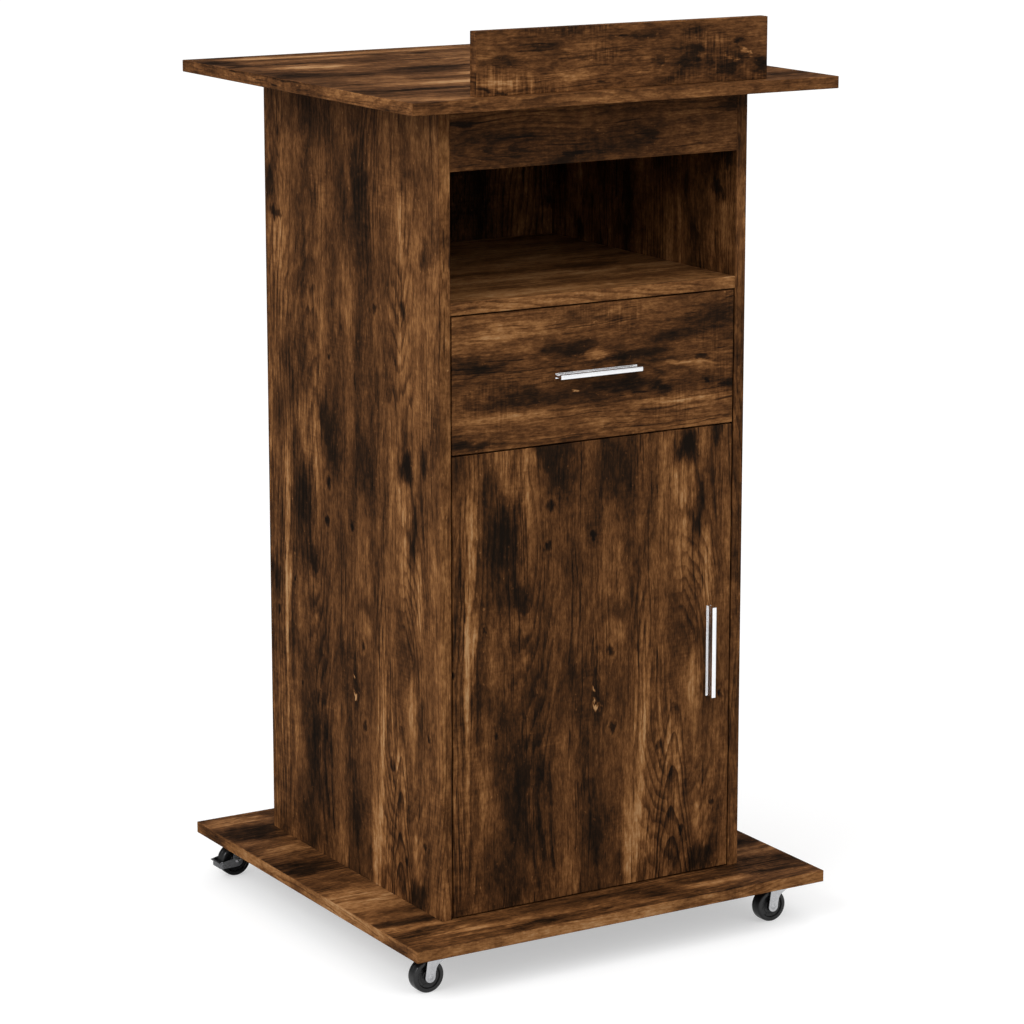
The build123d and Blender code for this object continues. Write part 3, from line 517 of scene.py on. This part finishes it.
DRAWER_MARKS = [
    (-45, 768, 38, 13, 1.3),
    (-176, 760, 44, 11, 1.1),
    (40, 752, 50, 8, 1.1),
    (102, 736, 30, 10, 1.2),
    (-92, 716, 44, 15, 0.9),
    (184, 788, 38, 26, 1.0),
    (155, 742, 14, 6, 1.9),
    (40, 716, 44, 9, 0.9),
    (196, 705, 14, 8, 1.8),
    (-170, 664, 46, 6, 1.1),
    (30, 664, 22, 5, 1.0),
    (90, 708, 12, 12, 1.3),
    (110, 776, 40, 8, 0.6),
    (0, 800, 60, 8, 0.5),
]
DRAWER_LIGHTS = [
    (-150, 792, 60, 12, 1.0),
    (0, 757, 26, 6, 1.1),
    (150, 731, 60, 5, 1.2),
    (-130, 690, 80, 12, 0.6),
    (120, 690, 70, 9, 0.8),
    (-25, 714, 5, 4, 1.6),
]
FASCIA_MARKS = [
    (-192, 1054, 26, 4, 1.6),
    (-45, 1004, 14, 10, 1.5),
    (62, 1020, 16, 7, 0.9),
    (190, 1052, 30, 6, 1.0),
    (-120, 1030, 50, 8, 0.4),
]
TOP_MARKS = [
    (-68, 55, 60, 26, 1.7),
    (-276, 215, 26, 52, 1.3),
    (-262, 45, 44, 26, 1.1),
    (-205, 15, 40, 12, 1.0),
    (-62, 215, 26, 20, 0.9),
    (0, 225, 20, 14, 0.9),
    (-200, -168, 90, 14, 1.0),
    (-270, -185, 40, 12, 0.9),
    (-130, -262, 60, 12, 0.8),
    (220, -120, 60, 20, 1.0),
    (190, 80, 90, 24, 0.9),
]
TOP_LIGHTS = [
    (-130, 255, 70, 14, 1.1),
    (30, 170, 90, 30, 0.9),
    (-120, -110, 110, 18, 1.0),
    (-230, -60, 60, 22, 0.7),
    (20, 265, 90, 18, 0.7),
    (-250, -275, 50, 14, 0.8),
    (-200, 130, 55, 34, 1.1),
    (-20, -30, 60, 24, 0.9),
    (-215, 262, 40, 18, 1.0),
]
BASE_MARKS = [
    (-262, 205, 50, 36, 1.3),
    (-262, 50, 44, 24, 1.2),
    (-240, -195, 70, 10, 1.2),
    (-255, -232, 40, 8, 0.9),
    (-70, -276, 60, 10, 0.8),
    (40, -245, 80, 12, 0.7),
    (250, -265, 50, 12, 1.1),
    (262, -150, 50, 20, 1.0),
    (262, 60, 50, 30, 0.9),
]
BASE_LIGHTS = [
    (-262, -90, 80, 44, 1.1),
    (-262, 130, 40, 36, 0.9),
    (-262, 270, 60, 16, 0.8),
    (-180, -262, 90, 16, 0.9),
    (150, -262, 60, 12, 0.9),
]
STOP_MARKS = [
    (92, 1126, 13, 13, 1.7),
    (-168, 1126, 30, 6, 1.0),
    (20, 1152, 70, 9, 0.9),
    (100, 1150, 30, 12, 1.0),
    (168, 1136, 10, 8, 1.4),
    (196, 1108, 14, 10, 1.5),
    (142, 1104, 14, 6, 1.2),
    (45, 1118, 10, 10, 1.0),
    (-190, 1096, 12, 4, 1.5),
    (-166, 1094, 8, 4, 1.6),
    (-105, 1142, 26, 7, 0.5),
]
STOP_LIGHTS = [
    (-172, 1106, 26, 6, 0.9),
    (-80, 1106, 30, 7, 0.7),
    (35, 1104, 40, 6, 0.7),
    (147, 1113, 5, 4, 1.2),
    (172, 1122, 4, 7, 1.0),
]

# The door and the side and back panels share their marks, and two of them knots and arches too.
UPRIGHT = {"marks": UPRIGHT_MARKS, "lights": UPRIGHT_LIGHTS}
KNOTTY = {**UPRIGHT, "knots": UPRIGHT_KNOTS, "tip": (300, 118)}
# Axis orders of lying boards and of boards that face the front, grain to the right, and of the
# strips on such boards' left and right ends.
LYING = ("x", "y", "z")
FRONT = ("x", "z", "y")
LYING_STRIP = ("x", ("y", "z", "x"))
FRONT_STRIP = ("x", ("z", "y", "x"))

# Each board's tone is set on its own to fit its brightness, so besides the print the tones hold
# painted light and shade: the fascia's low tone is painted shade under the overhang above it, and the
# compartment shelf's high tone is painted light in the compartment. The rim amounts are painted light
# on the edges of the side panels and the base plate.
oak_looks = {
    "door_panel": oak("oak_door", ("z", "x", "y"), (3.10, 0.30, 0.0), **KNOTTY, tone=0.53),
    # painted light: the rim lightens the edge faces, here and on the right side panel
    "left_side_panel": oak(
        "oak_left_side", ("z", "-y", "x"), (3.10, 0.30, 0.0), **KNOTTY,
        place=(-7, 0), tone=0.545, rim=("x", 0.09),
    ),
    "right_side_panel": oak(
        "oak_right_side", ("z", "y", "x"), (7.3, 2.1, 1.0), **UPRIGHT, place=(40, 12), rim=("x", 0.08)
    ),
    "back_panel": oak("oak_back", ("z", "-x", "y"), (11.7, 5.2, 2.0), **UPRIGHT, place=(-30, -18)),
    "drawer_front": oak(
        "oak_drawer_front", FRONT, (5.0, 1.3, 0.0), DRAWER_MARKS, DRAWER_LIGHTS,
        rings=0.5, saw=0.5, tone=0.585,
    ),
    # painted shade: the fascia's low tone darkens it where the overhang above shades it
    "fascia_rail": oak("oak_fascia", FRONT, (9.2, 3.3, 0.0), FASCIA_MARKS, rings=0.9, tone=0.47),
    "top_plate": oak(
        "oak_top", LYING, (1.5, 6.1, 0.0), TOP_MARKS, TOP_LIGHTS,
        rings=0.6, tone=0.565, end=LYING_STRIP,
    ),
    # painted light: the rim makes the base plate's edge faces much lighter
    "base_plate": oak(
        "oak_base", LYING, (4.4, 8.8, 0.0), BASE_MARKS, BASE_LIGHTS,
        rings=0.6, end=LYING_STRIP, rim=("z", 0.27),
    ),
    "stop_board": oak(
        "oak_stop", FRONT, (2.2, 9.7, 0.0), STOP_MARKS, STOP_LIGHTS,
        rings=0.25, saw=1.0, tone=0.49, end=FRONT_STRIP,
    ),
    # painted light: the high tone lightens the shelf deep in the shaded compartment
    "compartment_shelf": oak("oak_shelf", LYING, (6.6, 4.6, 0.0), tone=0.77),
    "drawer_divider": oak("oak_divider", LYING, (8.1, 7.2, 0.0)),
    "cupboard_shelf": oak("oak_cupboard_shelf", LYING, (12.3, 1.9, 0.0)),
}


# ---- other materials ---------------------------------------------------------------------
def foil(name, order, seed):
    """Matt dark brown foil with a faint grain, for the drawer box."""
    material, g, shader = surface(name)
    given = g.node("ShaderNodeTexCoord")
    parts = g.node("ShaderNodeSeparateXYZ", {"Vector": given.outputs["Object"]})
    grain = g.vector("ADD", in_order(g, parts, order), seed)
    streak = g.noise(g.stretched(grain, 5, 120), 4, 0.62)
    thread = g.noise(g.stretched(grain, 30, 700), 3, 0.6)
    tone = g.add(g.times(streak, 0.62), g.times(thread, 0.38))
    browns = ((0.030, 0.0155, 0.0085), (0.072, 0.0365, 0.0190), (0.135, 0.0720, 0.0390))
    colour = g.ramp(tone, list(zip((0.25, 0.50, 0.75), browns)))
    g.feed(shader.inputs["Base Color"], colour)
    g.feed(shader.inputs["Roughness"], g.add(0.5, g.times(streak, 0.16)))
    shader.inputs["Specular IOR Level"].default_value = 0.12
    g.relief(shader, thread, 0.3, 0.0002)
    return material


def metal(name, dark, light, rough, grain, cloud=60.0, bump=0.00002):
    """Plated or cast metal: a fine grain, and a faint cloudiness in gloss and colour."""
    material, g, shader = surface(name)
    given = g.node("ShaderNodeTexCoord").outputs["Object"]
    fine = g.noise(g.vector("MULTIPLY", given, grain), 3, 0.6)
    haze = g.noise(given, 3, 0.55, scale=cloud)
    share = g.add(g.times(fine, 0.45), g.times(haze, 0.55))
    colour = g.mix(g.span(share, 0.35, 0.65), (*dark, 1), (*light, 1))
    g.feed(shader.inputs["Base Color"], colour)
    shader.inputs["Metallic"].default_value = 1.0
    gloss = g.span(share, 0.3, 0.7, rough - 0.07, rough + 0.07, smooth=False)
    g.feed(shader.inputs["Roughness"], gloss)
    g.relief(shader, fine, 0.4, bump)
    return material


def plastic(name, dark, light, rough):
    """Moulded plastic with a fine spark-eroded texture and slight unevenness in gloss."""
    material, g, shader = surface(name)
    given = g.node("ShaderNodeTexCoord").outputs["Object"]
    grit = g.noise(given, 2, 0.6, scale=900.0)
    flow = g.noise(given, 3, 0.55, scale=70.0)
    g.feed(shader.inputs["Base Color"], g.mix(g.span(flow, 0.35, 0.65), (*dark, 1), (*light, 1)))
    gloss = g.span(flow, 0.3, 0.7, rough - 0.06, rough + 0.08, smooth=False)
    g.feed(shader.inputs["Roughness"], gloss)
    g.relief(shader, grit, 0.35, 0.00006)
    return material


def beech():
    """Raw fluted beech dowels."""
    material, g, shader = surface("beech_raw")
    given = g.node("ShaderNodeTexCoord").outputs["Object"]
    ray = g.noise(g.vector("MULTIPLY", given, (900, 900, 90)), 2, 0.6)
    colour = g.mix(g.span(ray, 0.35, 0.7), (0.52, 0.33, 0.18, 1), (0.68, 0.48, 0.29, 1))
    g.feed(shader.inputs["Base Color"], colour)
    g.feed(shader.inputs["Roughness"], g.span(ray, 0.3, 0.7, 0.6, 0.75, smooth=False))
    return material


def epoxy():
    """White epoxy-coated slide steel with a faint orange-peel surface."""
    material, g, shader = surface("white_epoxy")
    given = g.node("ShaderNodeTexCoord").outputs["Object"]
    peel = g.noise(given, 2, 0.5, scale=1400.0)
    drift = g.noise(given, 2, 0.5, scale=18.0)
    g.feed(shader.inputs["Base Color"], g.mix(drift, (0.70, 0.70, 0.68, 1), (0.80, 0.80, 0.78, 1)))
    g.feed(shader.inputs["Roughness"], g.span(drift, 0.3, 0.7, 0.30, 0.42, smooth=False))
    g.relief(shader, peel, 0.3, 0.00003)
    return material


BRIGHT = {"dark": (0.76, 0.76, 0.77), "light": (0.86, 0.86, 0.87), "rough": 0.24, "cloud": 30.0}
aluminium_x = metal("aluminium_along_x", **BRIGHT, grain=(12, 900, 900), bump=0.000004)
aluminium_z = metal("aluminium_along_z", **BRIGHT, grain=(900, 900, 12), bump=0.000004)
zinc = metal(
    "zinc_plate", (0.48, 0.485, 0.50), (0.58, 0.585, 0.60), 0.28, (260, 260, 260), bump=0.00001
)
cast = metal(
    "cast_zinc", (0.42, 0.42, 0.43), (0.55, 0.55, 0.56), 0.45, (900, 900, 900), 120.0, 0.00008
)
nickel = metal("nickel_plate", (0.60, 0.585, 0.56), (0.74, 0.72, 0.69), 0.24, (500, 500, 500))
wheel_black = plastic("wheel_black", (0.0060, 0.0060, 0.0063), (0.0100, 0.0100, 0.0105), 0.30)
nylon_white = plastic("nylon_white", (0.74, 0.74, 0.70), (0.84, 0.84, 0.81), 0.38)
beech_raw = beech()
white_epoxy = epoxy()
cad_looks = dict(oak_looks)
for side, seed in (("left", (2.0, 0, 0)), ("right", (5.0, 0, 0))):
    cad_looks[f"drawer_{side}_side"] = foil(f"foil_{side}", ("y", "z", "x"), seed)
    cad_looks[f"runner_cabinet_{side}"] = white_epoxy
    cad_looks[f"runner_drawer_{side}"] = white_epoxy
cad_looks["drawer_back"] = foil("foil_back", FRONT, (7.7, 0, 0))
cad_looks["drawer_bottom"] = foil("foil_bottom", LYING, (9.1, 0, 0))
for name in ("cabinet_rollers", "drawer_rollers"):
    cad_looks[name] = nylon_white
for name in ("hinge_cups", "hinge_pins", "hinge_cup_screws", "hinge_arms", "hinge_arm_screws"):
    cad_looks[name] = nickel
for name in ("cam_discs", "drawer_fittings"):
    cad_looks[name] = cast
cad_looks["wood_dowels"] = beech_raw
for name, node in nodes.items():
    look = cad_looks.get(name, zinc)
    node.data.materials.clear()
    node.data.materials.append(look)
    for face in node.data.polygons:
        face.material_index = 0


# ---- mesh pieces -------------------------------------------------------------------------
def piece(name, mesh, material, body, replaced, sharp, bevel=0.0):
    """Turns a bmesh in millimetres into a piece that rides on a body and stands for a CAD node.

    Edges that turn by more than sharp degrees stay sharp, or are rounded by the bevel.
    """
    bmesh.ops.recalc_face_normals(mesh, faces=mesh.faces)
    bmesh.ops.scale(mesh, vec=(MM, MM, MM), verts=mesh.verts)
    data = bpy.data.meshes.new(name)
    mesh.to_mesh(data)
    mesh.free()
    for face in data.polygons:
        face.use_smooth = True
    data.set_sharp_from_angle(angle=math.radians(sharp))
    data.materials.append(material)
    made = bpy.data.objects.new(name, data)
    scene.collection.objects.link(made)
    if bevel:
        cut = made.modifiers.new("soft_edges", "BEVEL")
        cut.width = bevel * MM
        cut.segments = 2
        cut.limit_method = "ANGLE"
        cut.angle_limit = math.radians(sharp)
        cut.harden_normals = True
    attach(made, body)
    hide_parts(replaced)


def arc(centre, radius, start, end, steps):
    """Points on an arc, angles in degrees."""
    found = []
    for i in range(steps + 1):
        turn = math.radians(start + (end - start) * i / steps)
        found.append((centre[0] + radius * math.cos(turn), centre[1] + radius * math.sin(turn)))
    return found


def prism(mesh, outline, place, length):
    """Adds a prism: place(u, v, w) maps the flat outline and the way along it to space."""
    start, end = ([mesh.verts.new(place(u, v, w)) for u, v in outline] for w in (0, length))
    for i in range(len(outline)):
        k = (i + 1) % len(outline)
        mesh.faces.new((start[i], start[k], end[k], end[i]))
    mesh.faces.new(start)
    mesh.faces.new(end)


def lathe(mesh, profile, place, steps):
    """Turns a closed (radius, height) profile round an axis: place(a, b, h) maps to space."""
    columns = []
    for i in range(steps):
        turn = 2 * math.pi * i / steps
        ring = [(r * math.cos(turn), r * math.sin(turn), h) for r, h in profile]
        columns.append([mesh.verts.new(place(a, b, h)) for a, b, h in ring])
    for i in range(steps):
        here, there = columns[i], columns[(i + 1) % steps]
        for j in range(len(profile)):
            k = (j + 1) % len(profile)
            mesh.faces.new((here[j], there[j], there[k], here[k]))


# ---- bar handles -----------------------------------------------------------------------------
BAR_LENGTH = 118
# Half of the drawn section, as (sideways, outwards), from the foot's middle to the bar's.
HALF_SECTION = (
    [(0, 0), (3.5, 0)]
    + arc((2.9, 1.4), 0.6, 0, 90, 5)
    + arc((1.8, 2.3), 0.3, -90, -180, 3)
    + arc((1.8, 11.2), 0.3, 180, 90, 3)
    + arc((2.7, 11.9), 0.4, -90, 0, 3)
    + arc((1.7, 14.1), 1.4, 0, 90, 8)
)


def cleaned(points):
    """The points with repeats left out."""
    kept = []
    for point in points:
        if not kept or math.dist(point, kept[-1]) > 1e-4:
            kept.append(point)
    return kept


def middle(name):
    """The middle of a node's box, in millimetres."""
    low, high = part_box(name)
    return [(a + b) / 2 / MM for a, b in zip(low, high)]


def handle(name, body, along, look):
    """A drawn bar handle along x or z, its foot on the face that carries it."""
    x, _, z = middle(name)
    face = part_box(name)[1].y / MM
    half = cleaned(HALF_SECTION)
    outline = half + [(-u, v) for u, v in reversed(half) if u > 0]
    start = -BAR_LENGTH / 2

    def place(u, v, w):
        if along == "x":
            return (x + start + w, face - v, z + u)
        return (x + u, face - v, z + start + w)

    mesh = bmesh.new()
    prism(mesh, outline, place, BAR_LENGTH)
    piece(f"{name}_bar", mesh, look, body, name, sharp=50, bevel=0.25)


handle("drawer_handle", "drawer", "x", aluminium_x)
handle("door_handle", "door", "z", aluminium_z)


# ---- castors ---------------------------------------------------------------------------------
# Each piece is placed from x, y, the swivel's axis, and faces the way the castor trails at rest.
TRAIL = 12  # the axle's distance behind the swivel
AXLE_LEVEL = 21.0


def across_axle(x, y):
    """Places lathe points round the axle, with their height along it."""
    return lambda a, b, h: (x - TRAIL + a, y + h, AXLE_LEVEL + b)


def wheel_profile():
    """Half of the wheel's section as (radius, height): crowned tread, sunk web and raised hub."""
    side = [(2.56, 9.7), (4.6, 9.7)]
    side += arc((5.6, 8.9), 0.8, 90, 0, 4)
    side += [(6.7, 6.6)]
    side += arc((7.6, 6.6), 0.9, 180, 270, 4)
    side += [(9.6, 5.7), (9.9, 6.2), (10.9, 6.2), (11.2, 5.7)]
    side += arc((13.9, 6.6), 0.9, 270, 340, 4)
    side += [(15.3, 7.9)]
    side += arc((16.2, 7.7), 0.8, 150, 90, 4)
    side += arc((18.3, 5.9), 2.6, 88, 18, 8)
    side += [(20.93, 4.6), (21.0, 0.35), (20.82, 0.15)]
    return cleaned(side)


def wheel(corner, x, y):
    """The moulded wheel, with eight ribs in the web of each face."""
    rib = [(11.0, -0.45), (13.9, -0.45), (13.9, 0.45), (11.0, 0.45)]
    rib_foot, rib_height = 5.2, 0.9
    mesh = bmesh.new()
    half = wheel_profile()
    lathe(mesh, half + [(r, -h) for r, h in reversed(half)], across_axle(x, y), 96)
    for s in (-1, 1):
        for i in range(8):
            turn = math.pi / 4 * i + 0.2
            cosine, sine = math.cos(turn), math.sin(turn)

            def place(u, v, w):
                along, up = u * cosine - v * sine, u * sine + v * cosine
                return (x - TRAIL + along, y + s * (rib_foot + w), AXLE_LEVEL + up)

            prism(mesh, rib, place, rib_height)
    name = f"castor_{corner}_wheel"
    piece(f"{name}_moulding", mesh, wheel_black, name, name, sharp=32)


def fork(corner, x, y):
    """The pressed fork: two narrow legs rounded at the axle and a roof with a round front."""
    inner, outer, steel = 10.2, 12.0, 1.8
    crown = 16.5  # the roof's radius round the swivel
    axle, back, front = x - TRAIL, x - TRAIL - 3, x + crown - 3.5
    roof_under, leg_top = 45.6, 47.3
    leg = (
        [(back, leg_top)]
        + arc((axle, AXLE_LEVEL), 7, 180, 360, 24)
        + [(axle + 7.3, 25)]
        + arc((axle + 19.5, 27.5), 11.5, 168, 112, 8)
        + [(front, 44.1), (front, leg_top)]
    )
    mesh = bmesh.new()
    for near in (-outer, inner):
        prism(mesh, leg, lambda u, v, w: (u, y + near + w, v), steel)
    turn = math.degrees(math.asin((outer - 0.02) / crown))
    roof = [(back, y - outer)] + arc((x, y), crown, -turn, turn, 24) + [(back, y + outer)]
    prism(mesh, roof, lambda u, v, w: (u, v, roof_under + w), steel)
    name = f"castor_{corner}_fork"
    piece(f"{name}_shell", mesh, zinc, name, name, sharp=38, bevel=0.45)


def rivet_profile():
    """A rivet head's section as (radius, height): a flat rim and a round crown."""
    crown = [(0.02, 1.2), (0.7, 1.18), (1.3, 1.08), (1.9, 0.88), (2.4, 0.58)]
    return crown + [(2.7, 0.42), (3.7, 0.38), (4.0, 0.2), (4.0, 0.0), (0.02, 0.0)]


def axle_rivet(corner, x, y, reach):
    """The axle, out to reach each side of the middle, with a domed head on both ends."""
    mesh = bmesh.new()
    shank = [(2.5, -reach), (2.5, reach), (0.02, reach), (0.02, -reach)]
    lathe(mesh, shank, across_axle(x, y), 32)
    for s in (-1, 1):
        head = [(r, s * (reach + h)) for r, h in rivet_profile()]
        lathe(mesh, head, across_axle(x, y), 40)
    name = f"castor_{corner}_axle"
    piece(f"{name}_rivet", mesh, zinc, f"castor_{corner}_fork", name, sharp=42)


def sheet(mesh, path, columns):
    """A bent sheet. columns are (u, low, high); path(u, side) gives the plan point, side -1 or 1."""
    made = []
    for u, low, high in columns:
        front, back = path(u, 1), path(u, -1)
        row = [(*front, low), (*front, high), (*back, high), (*back, low)]
        made.append([mesh.verts.new(point) for point in row])
    for here, there in zip(made, made[1:]):
        for i in range(4):
            k = (i + 1) % 4
            mesh.faces.new((here[i], there[i], there[k], here[k]))
    mesh.faces.new(made[0])
    mesh.faces.new(list(reversed(made[-1])))


def lever(corner, x, y):
    """The rear castors' brake lever: two cheeks on the axle joined by a pedal."""
    axle, cheek, bend = x - TRAIL, 12.9, 3.0
    back = axle - 24.9
    straight = axle - (back + bend)  # each cheek, then a bend, the strap behind and a bend
    turned = math.pi / 2 * bend
    width = cheek - bend
    total = 2 * straight + 2 * turned + 2 * width

    def path(u, side):
        shift = 0.6 * side
        radius = bend + shift
        if u < straight:
            return (axle - u, y + cheek + shift)
        if u < straight + turned:
            angle = (u - straight) / bend
            return (back + bend - radius * math.sin(angle), y + width + radius * math.cos(angle))
        if u <= straight + turned + 2 * width:
            return (back - shift, y + width - (u - straight - turned))
        rest = u - straight - turned - 2 * width
        if rest < turned:
            angle = rest / bend
            return (back + bend - radius * math.cos(angle), y - width - radius * math.sin(angle))
        return (back + bend + rest - turned, y - cheek - shift)

    strap_low, strap_high, dip = 14.0, 23.2, 0.7
    columns = []
    for i in range(9):
        turn = math.pi * i / 16
        reach = 6.5 * math.sin(turn)
        columns.append((-6.49 * math.cos(turn), AXLE_LEVEL - reach - 0.01, AXLE_LEVEL + reach + 0.01))
    columns.append((straight, strap_low, strap_high))
    for i in range(1, 6):
        columns.append((straight + turned * i / 5, strap_low, strap_high - dip * i / 5))
    mirrored = [(total - u, low, high) for u, low, high in reversed(columns)]
    mesh = bmesh.new()
    sheet(mesh, path, columns + mirrored)
    edge, root = back - 3.0, back + 0.2
    pedal = [(edge, y - 12.5), (root, y - 13.5), (root, y + 13.5), (edge, y + 12.5)]
    prism(mesh, pedal, lambda u, v, w: (u, v, 21.3 + w), 1.2)
    name, body = f"castor_{corner}_brake_lever", f"castor_{corner}_brake"
    piece(f"{name}_pressing", mesh, zinc, body, name, sharp=38, bevel=0.3)


for corner in ("front_left", "front_right", "rear_left", "rear_right"):
    braked = corner.startswith("rear")
    x, y, _ = middle(f"castor_{corner}_plate")
    fork(corner, x, y)
    wheel(corner, x, y)
    axle_rivet(corner, x, y, 13.7 if braked else 12.0)
    if braked:
        lever(corner, x, y)


# ---- floor, light and camera -------------------------------------------------------------------
def grey(level):
    return (level, level, level, 1)


def make_floor():
    """A pale floor. It shows white, and is darker for the light that it sends up to the object.

    Gloss sees the white floor in front of the object and the darker one behind it.
    """
    size = 30
    mesh = bpy.data.meshes.new("floor")
    corners = [(-size, -size, 0), (size, -size, 0), (size, size, 0), (-size, size, 0)]
    mesh.from_pydata(corners, [], [(0, 1, 2, 3)])
    floor = bpy.data.objects.new("floor", mesh)
    scene.collection.objects.link(floor)
    material, g, shader = surface("pale_floor")
    ray = g.node("ShaderNodeLightPath")
    spot = g.node("ShaderNodeTexCoord").outputs["Object"]
    speck = g.noise(spot, 2, 0.5, scale=3.0)
    ahead = g.span(g.node("ShaderNodeSeparateXYZ", {"Vector": spot}).outputs["Y"], 0.2, -0.6)
    in_gloss = g.times(ray.outputs["Is Glossy Ray"], ahead)
    seen = g.math("MAXIMUM", ray.outputs["Is Camera Ray"], in_gloss)
    pale = g.mix(speck, grey(0.60), grey(0.62))
    g.feed(shader.inputs["Base Color"], g.mix(seen, grey(0.22), pale))
    g.feed(shader.inputs["Emission Color"], grey(1.0))
    g.feed(shader.inputs["Emission Strength"], g.times(seen, 0.45))
    shader.inputs["Roughness"].default_value = 0.8
    shader.inputs["Specular IOR Level"].default_value = 0.0
    mesh.materials.append(material)


def make_dome():
    """A white dome all round. Gloss sees it greyer, and nearly black behind the object."""
    world = bpy.data.worlds.new("studio")
    world.use_nodes = True
    g = Graph(world.node_tree)
    heading = g.node("ShaderNodeTexCoord").outputs["Generated"]
    away = (0.52, 0.85, 0.0)
    behind = g.node("ShaderNodeVectorMath", {0: heading, 1: away}, operation="DOT_PRODUCT")
    dim = g.span(behind.outputs["Value"], -0.4, 0.75, 0.75, 0.06)
    dim = g.node("ShaderNodeCombineColor", {0: dim, 1: dim, 2: dim}).outputs[0]
    mirrored = g.node("ShaderNodeLightPath").outputs["Is Glossy Ray"]
    background = world.node_tree.nodes["Background"]
    g.feed(background.inputs["Color"], g.mix(mirrored, grey(1.0), dim))
    background.inputs["Strength"].default_value = 1.0
    scene.world = world


def make_lamp(name, place, target, width, power):
    """A round softbox at place, turned to the target."""
    light = bpy.data.lights.new(name, "AREA")
    light.shape = "DISK"
    light.size = width
    light.energy = power
    lamp = bpy.data.objects.new(name, light)
    lamp.location = place
    lamp.rotation_mode = "QUATERNION"
    lamp.rotation_quaternion = (Vector(target) - Vector(place)).to_track_quat("-Z", "Y")
    scene.collection.objects.link(lamp)


def make_camera(place, yaw, pitch):
    """A long lens at place, turned yaw degrees to the right of +y and pitch degrees down."""
    lens = bpy.data.cameras.new("camera")
    lens.lens = 125.33
    lens.sensor_width = 36
    lens.shift_y = -0.04
    camera = bpy.data.objects.new("camera", lens)
    camera.location = place
    camera.rotation_mode = "QUATERNION"
    yaw, pitch = math.radians(yaw), math.radians(pitch)
    level = math.cos(pitch)
    forward = Vector((math.sin(yaw) * level, math.cos(yaw) * level, -math.sin(pitch)))
    camera.rotation_quaternion = forward.to_track_quat("-Z", "Y")
    scene.collection.objects.link(camera)
    scene.camera = camera


make_floor()
make_dome()
make_lamp("key", (-2.9, -1.0, 2.4), (0, 0, 0.45), 2.2, 52)
make_lamp("fill", (0.9, -3.2, 2.8), (0, 0, 0.6), 2.4, 20)
make_camera((-2.2970, -3.8410, 1.5319), 31.02, 12.12)
scene.view_settings.view_transform = "Standard"
